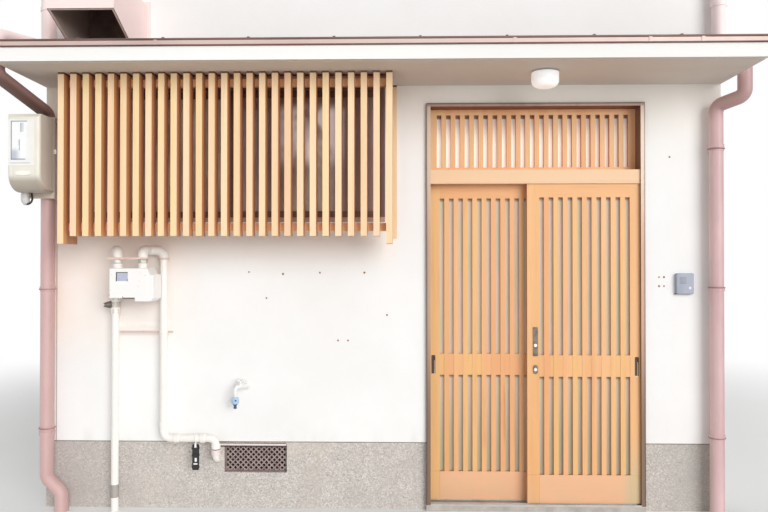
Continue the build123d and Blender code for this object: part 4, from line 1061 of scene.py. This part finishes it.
vent_lo, vent_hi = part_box("vent_grille")
WIRES = 29
LINTEL = (-0.931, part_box("front_plinth")[0].y, 0.3585)
LINTEL_X = (0, 0.3925)
width, height = vent_hi.x - vent_lo.x, vent_hi.z - vent_lo.z
wires = [0.004 + i * (width - 0.01) / (WIRES - 1) for i in range(WIRES)]
# the wires stand in front of a dark back plate: painted shade of the void under the floor
blocks("vent_screen", "cast_grille", "vent_screen", (vent_lo.x, vent_hi.y, vent_lo.z),
       (0.03, 0.032, 0, *[(x, x + 0.002, 0, height) for x in wires]),
       (0.034, 0.036, 0, (0, width, 0, height)))
blocks("vent_lintel", "cast_grille", "vent_lintel", LINTEL, (-0.004, 0.004, 0.001, (*LINTEL_X, 0, 0.011)))
# painted shadow lines: dark strips above and below the lintel
blocks("vent_lintel_shadow_lines", "cast_grille", "dark_trim", LINTEL,
       (-0.003, 0.004, 0.0008, (*LINTEL_X, -0.008, 0), (*LINTEL_X, 0.011, 0.015)))

# Wall plugs, at x and z

STREETWARD = (0, -1, 0)
WALL_PLUGS = (
    (-0.753, 1.354), (-0.557, 1.343), (-0.345, 1.351), (-0.09, 1.351), (-0.652, 1.205), (0.039, 1.109),
    (-0.241, 0.963), (-0.184, 0.963), (1.641, 2.007), (1.58, 1.326), (1.608, 1.326), (1.58, 1.275),
    (1.608, 1.275),
)
plugs = Mesh()
for x, z in WALL_PLUGS:
    plugs.stud((x, FRONT + 0.0005, z), STREETWARD, random.uniform(0.0045, 0.0065), 0.003)
plugs.finish("wall_plugs", "white_plaster", "screw_rust")

# Gas meter: display, cover screws and handle slot, measured from the meter's low corner; dark strips along
# the display's left and top edges are painted shadow

METER_SCREWS = ((0.016, 0.147), (0.2, 0.142), (0.167, 0.113), (0.164, 0.083), (0.007, 0.06))
gas_lo, gas_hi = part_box("gas_meter")
blocks("gas_display", "white_enamel", "gas_display", gas_lo,
       (0.0015, 0.0045, 0.0008, (0.041, 0.103, 0.113, 0.157)))
dark = Mesh(gas_lo)
# painted shadow: dark strips along the display's left and top edges
dark.plates(0.0005, 0.0045, 0.0008, (0.038, 0.043, 0.111, 0.161), (0.038, 0.104, 0.157, 0.161))
dark.plates(0.001, 0.004, 0.0005, (0.1, 0.104, 0.111, 0.123))
for x, z in METER_SCREWS:
    dark.stud((x, 0.0035, z), STREETWARD, 0.0035, 0.0035)
dark.plates(0, 0.02, 0.002, (0.073, 0.143, 0.016, 0.0235), (0.073, 0.08, 0.016, 0.031))
dark.tube([(0.0025, 0.006, 0.055), (0.0005, 0.004, 0.03)], 0.002, 10)
dark.finish("gas_dark_parts", "white_enamel", "dark_trim")

# Straps, nuts and valve of the gas pipes

PIPE_INSIDE = 0.016
FITTING = 0.027
LOW_STRAP_Z = 1.014
RUN_Z = 0.412
riser_x = gas_lo.x - 0.029
inlet_x = gas_lo.x + 0.023
outlet_x = inlet_x + 0.14
branch_x = gas_hi.x + 0.005
entry_x = branch_x + 0.3
port_y = gas_lo.y + 0.065
pipe_y = FRONT - 0.045
strap_z = gas_hi.z + 0.052
valve_z = gas_lo.z - 0.025

straps = Mesh((0, 0, strap_z))
for x, y in ((riser_x, pipe_y), (branch_x, pipe_y), (inlet_x, port_y)):
    straps.band(x, y, -0.005, 0.006, FITTING - 0.007, FITTING + 0.0035)
bar_y = port_y - FITTING - 0.0035
straps.plates(bar_y, bar_y + 0.006, 0.0015, (inlet_x - 0.045, outlet_x + 0.032, -0.005, 0.007))
straps.finish("gas_straps", "white_pipe", "bronze_strap")
low_x = ((riser_x + 0.012, branch_x - 0.012), (branch_x + 0.012, branch_x + 0.052))
blocks("gas_low_strap", "white_pipe", "low_strap", (0, pipe_y, LOW_STRAP_Z),
       *[(0.006, 0.011, 0.0008, (*ends, -0.0055, -0.003), (*ends, 0.003, 0.0055)) for ends in low_x],
       *[(0.008, 0.009, 0.0003, (*ends, -0.004, 0.004)) for ends in low_x])

# Bands round the gas pipes: foot, top, inside and outside, then ease and sides where it is a nut
NUT = (0.002, 6)
RISER, BRANCH, ENTRY = (riser_x, pipe_y), (branch_x, pipe_y), (entry_x, pipe_y)
INLET, OUTLET = (inlet_x, port_y), (outlet_x, port_y)
for name, material, z, bands in (
    ("gas_low_clips", "white_pipe", LOW_STRAP_Z,
     [(*at, -0.007, 0.007, PIPE_INSIDE, 0.0235) for at in (RISER, BRANCH)]),
    ("gas_union_nut", "union_nut", strap_z,
     ((*OUTLET, -0.0258, -0.004, 0.017, 0.0262, *NUT), (*OUTLET, -0.004, 0.004, 0.02, 0.0283))),
    ("gas_seals", "dark_trim", strap_z,
     ((*OUTLET, -0.0042, -0.001, 0.02, 0.0288), (*INLET, -0.0258, -0.0235, 0.018, 0.0252))),
    ("gas_valve_nuts", "valve_body", valve_z,
     ((*RISER, -0.05, -0.024, 0.02, 0.0295, *NUT), (*RISER, 0.024, 0.05, 0.02, 0.0295, *NUT),
      (*RISER, -0.016, 0.016, 0.02, 0.0285))),
    ("gas_riser_sleeve", "riser_sleeve", 0, ((*RISER, 0.076, 0.149, PIPE_INSIDE, 0.0225),)),
    ("gas_entry_seal", "dark_trim", 0, ((*ENTRY, 0.349, 0.3535, PIPE_INSIDE, 0.0235),)),
    ("gas_entry_cap", "gas_entry_cap", 0, ((*ENTRY, 0.316, 0.349, PIPE_INSIDE, 0.026),)),
):
    made = Mesh((0, 0, z))
    for band in bands:
        made.band(*band)
    made.finish(name, "white_pipe", material)

SOCKET = ((0, 0.0225), (0.003, 0.0255), (0.027, 0.0255), (0.03, 0.0225))
sockets = Mesh().band(*ENTRY, 0.353, 0.38, PIPE_INSIDE, 0.0255)
sockets.band(*BRANCH, 0.478, 0.51, PIPE_INSIDE, 0.0255)
for x in (branch_x + 0.062, entry_x - 0.09):
    sockets.turned((x, pipe_y, RUN_Z), (1, 0, 0), SOCKET, 40)
sockets.finish("gas_pipe_sockets", "white_pipe")

KNOB = ((0.028, 0.0205), (0.034, 0.0205), (0.036, 0.0185), (0.052, 0.0155), (0.0655, 0.0105), (0.066, 0.008))
valve = (riser_x, pipe_y, valve_z)
knob_way = Vector((-1, -1, 0)).normalized()
Mesh(valve).turned((0, 0, 0), knob_way, KNOB, 28).finish("gas_valve_knob", "white_pipe", "valve_knob")
knob_cap = Mesh(valve).stud(knob_way * 0.066, knob_way, 0.0075, 0.0015)
knob_cap.finish("gas_knob_cap", "white_pipe", "white_trim")

# Strip that hangs from the low gas pipe

STRIP_X = (-0.0214, 0.0214)
strip_place = (-1.0413, pipe_y - 0.012, 0)
blocks("hanging_strip", "white_pipe", "black_rubber", strip_place,
       (-0.006, 0, 0.003, (-0.0194, 0.0194, 0.236, 0.382)),
       (-0.009, 0.003, 0.002, *[(*STRIP_X, z, z + 0.014) for z in (0.248, 0.312, 0.352)]))
clips = Mesh(strip_place)
clips.tube([(0, y, z) for y, z in arc(0.012, RUN_Z, 0.0245, 0, 2, 32)], 0.003, 8)
clips.tube([(0, -0.004, RUN_Z - 0.02), (0, -0.003, 0.392), (0, -0.003, 0.375)], 0.003, 10)
clips.plates(-0.0115, -0.006, 0.002, (-0.004, 0.008, 0.284, 0.306))
clips.plates(-0.011, -0.006, 0.002, (-0.012, 0.012, 0.268, 0.276))
clips.plates(-0.0105, -0.006, 0.002, (-0.006, 0.006, 0.362, 0.386))
clips.finish("hanging_strip_clips", "white_pipe", "white_trim")

# Garden tap with its hose coupling; the profiles hold distance and radius

UP = Vector((0, 0, 1))
TAP = Vector((-0.765, FRONT, 0.706))
SPOUT = TAP + Vector((-0.05, -0.07, 0))
ARM = ((0, 0.005), (0.017, 0.0045), (0.0255, 0.0052))
COUPLING = ((0.055, 0.012), (0.058, 0.019), (0.07, 0.0218), (0.086, 0.0218), (0.094, 0.017))
HOSE_RING = ((0.093, 0.017), (0.099, 0.013), (0.105, 0.008), (0.11, 0.007), (0.1105, 0.009), (0.12, 0.009))
# Bend of the spout: place from the wall, and radius
BEND = (
    (0, 0, 0, 0.013), (0, -0.028, 0, 0.013), (-0.004, -0.036, 0, 0.014), (-0.03, -0.055, 0, 0.0135),
    (-0.044, -0.066, -0.002, 0.013), (-0.049, -0.069, -0.01, 0.0125), (-0.05, -0.07, -0.022, 0.012),
    (-0.05, -0.07, -0.085, 0.012),
)
neck = TAP + Vector((-0.025, -0.0525, 0))
tap = Mesh().turned(TAP, STREETWARD, ((0, 0.026), (0.005, 0.026), (0.008, 0.02)), 32)
tap.tube([TAP + Vector(row[:3]) for row in BEND], [row[3] for row in BEND], 24)
tap.turned(neck, UP, ((0, 0.013), (0.018, 0.013), (0.02, 0.009), (0.03, 0.009)))
for a in (math.pi * (0.25 + k / 2) for k in range(4)):
    tap.turned(neck + UP * 0.035, (math.cos(a), math.sin(a), 0), ARM, 14)
tap.stud(neck + UP * 0.028, UP, 0.009, 0.012, 24)
tap.finish("garden_tap", "tap_metal", replaces=("water_tap",))
Mesh(SPOUT).turned((0, 0, 0), -UP, COUPLING, 32).finish("tap_coupling", "tap_metal", "coupling_plastic")
ring = Mesh(SPOUT).turned((0, 0, 0), -UP, HOSE_RING, 28)
ring.stud((0.007, -0.0195, -0.072), (0.3, -1, 0), 0.0055, 0.0035)
ring.finish("tap_coupling_ring", "tap_metal", "coupling_ring")

# Intercom: speaker slots with a dark base line, and the call button

call_lo, call_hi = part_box("intercom")
to_wall, foot, right = FRONT - call_lo.y, call_lo.z - call_hi.z, call_hi.x - call_lo.x - 0.012
slots = [(0.016, 0.056, z, z + 0.0026) for z in (-0.026 - 0.0065 * k for k in range(6))]
blocks("intercom_slots", "grey_plastic", "dark_trim", (call_lo.x, call_lo.y, call_hi.z),
       (-0.0002, 0.002, 0.0006, *slots),
       (to_wall - 0.012, to_wall, 0.0006, (-0.004, right, foot - 0.0015, foot + 0.002)))
button = Mesh((1.744, call_lo.y, 1.265)).stud((0, 0.001, 0), STREETWARD, 0.0085, 0.0016, 28)
button.finish("intercom_button", "grey_plastic", "intercom_button")

# Electric meter: window cover, pane, frame, dial marks, seam and fixing screw, from the cover's low corner

volt_lo, volt_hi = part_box("electric_meter")
VOLT = (volt_lo.x, volt_lo.y + 0.005, volt_lo.z)
COVER_X, COVER_Z = (0.009, 0.148), (0.134, 0.387)
PANE_X, PANE_Z = (0.022, 0.11), (0.168, 0.377)


def pane_finish():
    """White pane, bluish toward its lower left corner."""
    f = Finish("meter_pane", 0.25)
    x, z = f.minus(f.x, VOLT[0] + PANE_X[0]), f.minus(f.z, VOLT[2] + PANE_Z[0])
    f.base = f.clouds((244, 247, 247), (252, 253, 253), 20.0)
    f.tint((164, 168, 188), 0.7, f.fall(x, 0.02, 0.06), f.fall(z, 0.035, 0.075))
    f.bump(f.noise(200.0), 0.0001, 0.3)
    f.done()


pane_finish()
for name, material, *groups in (
    ("meter_window_cover", "meter_cover",
     (-0.003, 0.002, 0.0012, (*COVER_X, COVER_Z[0], PANE_Z[0]), (*COVER_X, PANE_Z[1], COVER_Z[1])),
     (-0.003, 0.002, 0.0002, (COVER_X[0], PANE_X[0], *PANE_Z), (PANE_X[1], COVER_X[1], *PANE_Z))),
    ("meter_pane", "meter_pane", (-0.0022, 0.001, 0.0003, (0.021, 0.111, 0.167, 0.378))),
    ("meter_window_frame", "meter_frame",
     (-0.0034, 0, 0.0006, (0.022, 0.027, *PANE_Z), (0.022, 0.102, 0.168, 0.173),
      (*PANE_X, 0.373, 0.377), (0.015, 0.128, 0.148, 0.1515))),
    ("meter_dial_marks", "dial_marks",
     (-0.003, -0.0017, 0.0003, (0.074, 0.08, 0.318, 0.366), (0.086, 0.089, 0.318, 0.366),
      (0.065, 0.071, 0.246, 0.276), (0.067, 0.071, 0.218, 0.246))),
):
    blocks(name, "ivory_plastic", material, VOLT, *groups)
blocks("meter_seam", "ivory_plastic", "meter_seam", (volt_hi.x, volt_hi.y, 0),
       (-0.03, -0.028, 0.0005, (-0.0008, 0.0008, volt_lo.z + 0.03, volt_hi.z - 0.004)))
fixing = Mesh((volt_hi.x, volt_hi.y, 2.03)).stud((0.006, 0.0005, 0), STREETWARD, 0.008, 0.006)
fixing.plates(-0.004, 0, 0.001, (-0.001, 0.014, -0.012, 0.012))
fixing.finish("meter_fixing", "ivory_plastic", "white_trim")

# Conduit under the electric meter, with the cable that loops into it; the rows hold x, height and radius

CONDUIT = ((0, volt_lo.z + 0.02, 0.021), (0, 1.772, 0.021), (0.002, 1.752, 0.0225), (0.008, 1.736, 0.017),
           (0.012, 1.731, 0.006))
conduit_place = (-1.972, volt_hi.y - 0.034, 0)
conduit = Mesh(conduit_place).tube([(x, 0, z) for x, z, _ in CONDUIT], [row[2] for row in CONDUIT], 28)
for z in (1.76, 1.768, 1.776, 1.784):
    conduit.band(0, 0, z, z + 0.004, 0.018, 0.0232, 0.001)
conduit.finish("meter_conduit", "board_plastic", "conduit_plastic")
loop = [(x, -0.004, z) for x, z in arc(0.012, 1.765, 0.03, 1.5, 2.12, 14, 0.032)]
loop.append((loop[-1][0] - 0.006, 0.004, volt_lo.z + 0.012))
Mesh(conduit_place).tube(loop, 0.0055, 12).finish("meter_cable_loop", "board_plastic", "black_rubber")

# Collars and rings of the rainwater pipes, at x and z

RAIN_PIPE = 0.038
RAIN_INSIDE = 0.034
RAIN_JOINTS = ((1.877, 2.042), (1.877, 1.269), (1.877, 0.435), (-1.89, 1.258), (-1.89, 0.471))
rain_y = FRONT - 0.06
collars, rings = Mesh(), Mesh()
for x, z in RAIN_JOINTS:
    collars.band(x, rain_y, z - 0.014, z - 0.004, RAIN_INSIDE, RAIN_PIPE + 0.002)
    rings.band(x, rain_y, z - 0.003, z + 0.003, RAIN_INSIDE, RAIN_PIPE + 0.0075)
collars.finish("rain_pipe_collars", "mauve_plastic")
rings.finish("rain_pipe_rings", "mauve_plastic", "ring_plastic")

# Cups of the door pulls, on the leaves, with pale strips for painted highlights

PULL_HEIGHT = 0.818
PULL_X, PULL_Z = (-0.0115, 0.0115), (-0.056, 0.056)
for label, x in (("left", 0.306), ("right", 1.454)):
    place, body = (x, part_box(f"{label}_leaf")[0].y, PULL_HEIGHT), f"{label}_leaf_body"
    blocks(f"{label}_pull_cup", "cypress", "pull_cup", place,
           (0.0048, 0.006, 0.0003, (*PULL_X, *PULL_Z)),
           (-0.0004, 0.0055, 0.0006, (-0.0115, -0.009, *PULL_Z), (0.009, 0.0115, *PULL_Z),
            (*PULL_X, 0.0535, 0.056)), body=body)
    # painted highlights: pale strips along the cup's bottom and up inside it
    blocks(f"{label}_pull_highlight", "cypress", "pull_rim", place,
           (-0.0004, 0.0055, 0.001, (*PULL_X, -0.056, -0.052)),
           (0.003, 0.0052, 0.0006, (0.005, 0.008, -0.052, 0.026)), body=body)

# Floor, light and camera


def floor_finish():
    """Pale floor that keeps the house's shadow and fades to white away from it."""
    f = Finish("floor", 0.9)
    f.base = f.clouds((0.87, 0.87, 0.865, 1), (0.9, 0.9, 0.895, 1), 0.8, 3.0)
    f.done()
    away = f.add("VectorMath", {0: f.place}, operation="LENGTH").outputs["Value"]
    fade = f.times(f.rise(away, *FLOOR_FADE), f.add("LightPath").outputs["Is Camera Ray"])
    glow = f.add("Emission", {"Color": WHITE, "Strength": 1.0})
    blend = f.add("MixShader", {0: fade, 1: f.shader.outputs[0], 2: glow.outputs[0]})
    f.feed(f.tree.nodes["Material Output"].inputs["Surface"], blend.outputs[0])
    return f.material


floor_mesh = bpy.data.meshes.new("floor")
corners = [(x * FLOOR_REACH, y * FLOOR_REACH, 0) for x, y in ((-1, -1), (1, -1), (1, 1), (-1, 1))]
floor_mesh.from_pydata(corners, [], [(0, 1, 2, 3)])
floor_mesh.materials.append(floor_finish())
floor = add_object("floor", floor_mesh)

world = bpy.data.worlds.new("studio")
bpy.context.scene.world = world
world.use_nodes = True
world.node_tree.nodes.clear()
air = Nodes(world.node_tree)
rays = air.add("LightPath").outputs
mirrored = air.larger(rays["Is Glossy Ray"], rays["Is Transmission Ray"])
seen = air.larger(rays["Is Camera Ray"], mirrored)
sky = air.add("Background", {"Color": WHITE, "Strength": SKY_STRENGTH})
plain = air.add("Background", {"Color": WHITE, "Strength": 1.0})
choice = air.add("MixShader", {0: seen, 1: sky.outputs[0], 2: plain.outputs[0]})
air.add("OutputWorld", {"Surface": choice.outputs[0]})

sun = bpy.data.lights.new("key", "SUN")
sun.energy = SUN_STRENGTH
sun.angle = math.radians(SUN_SPREAD)
add_object("key", sun, turn=(90 - SUN_HEIGHT, 0, SUN_TURN))

camera_data = bpy.data.cameras.new("camera")
camera_data.lens = CAMERA_LENS
camera_data.sensor_width = CAMERA_SENSOR
bpy.context.scene.camera = add_object("camera", camera_data, CAMERA_PLACE, (90 + CAMERA_PITCH, 0, CAMERA_YAW))
bpy.context.scene.view_settings.view_transform = "Standard"
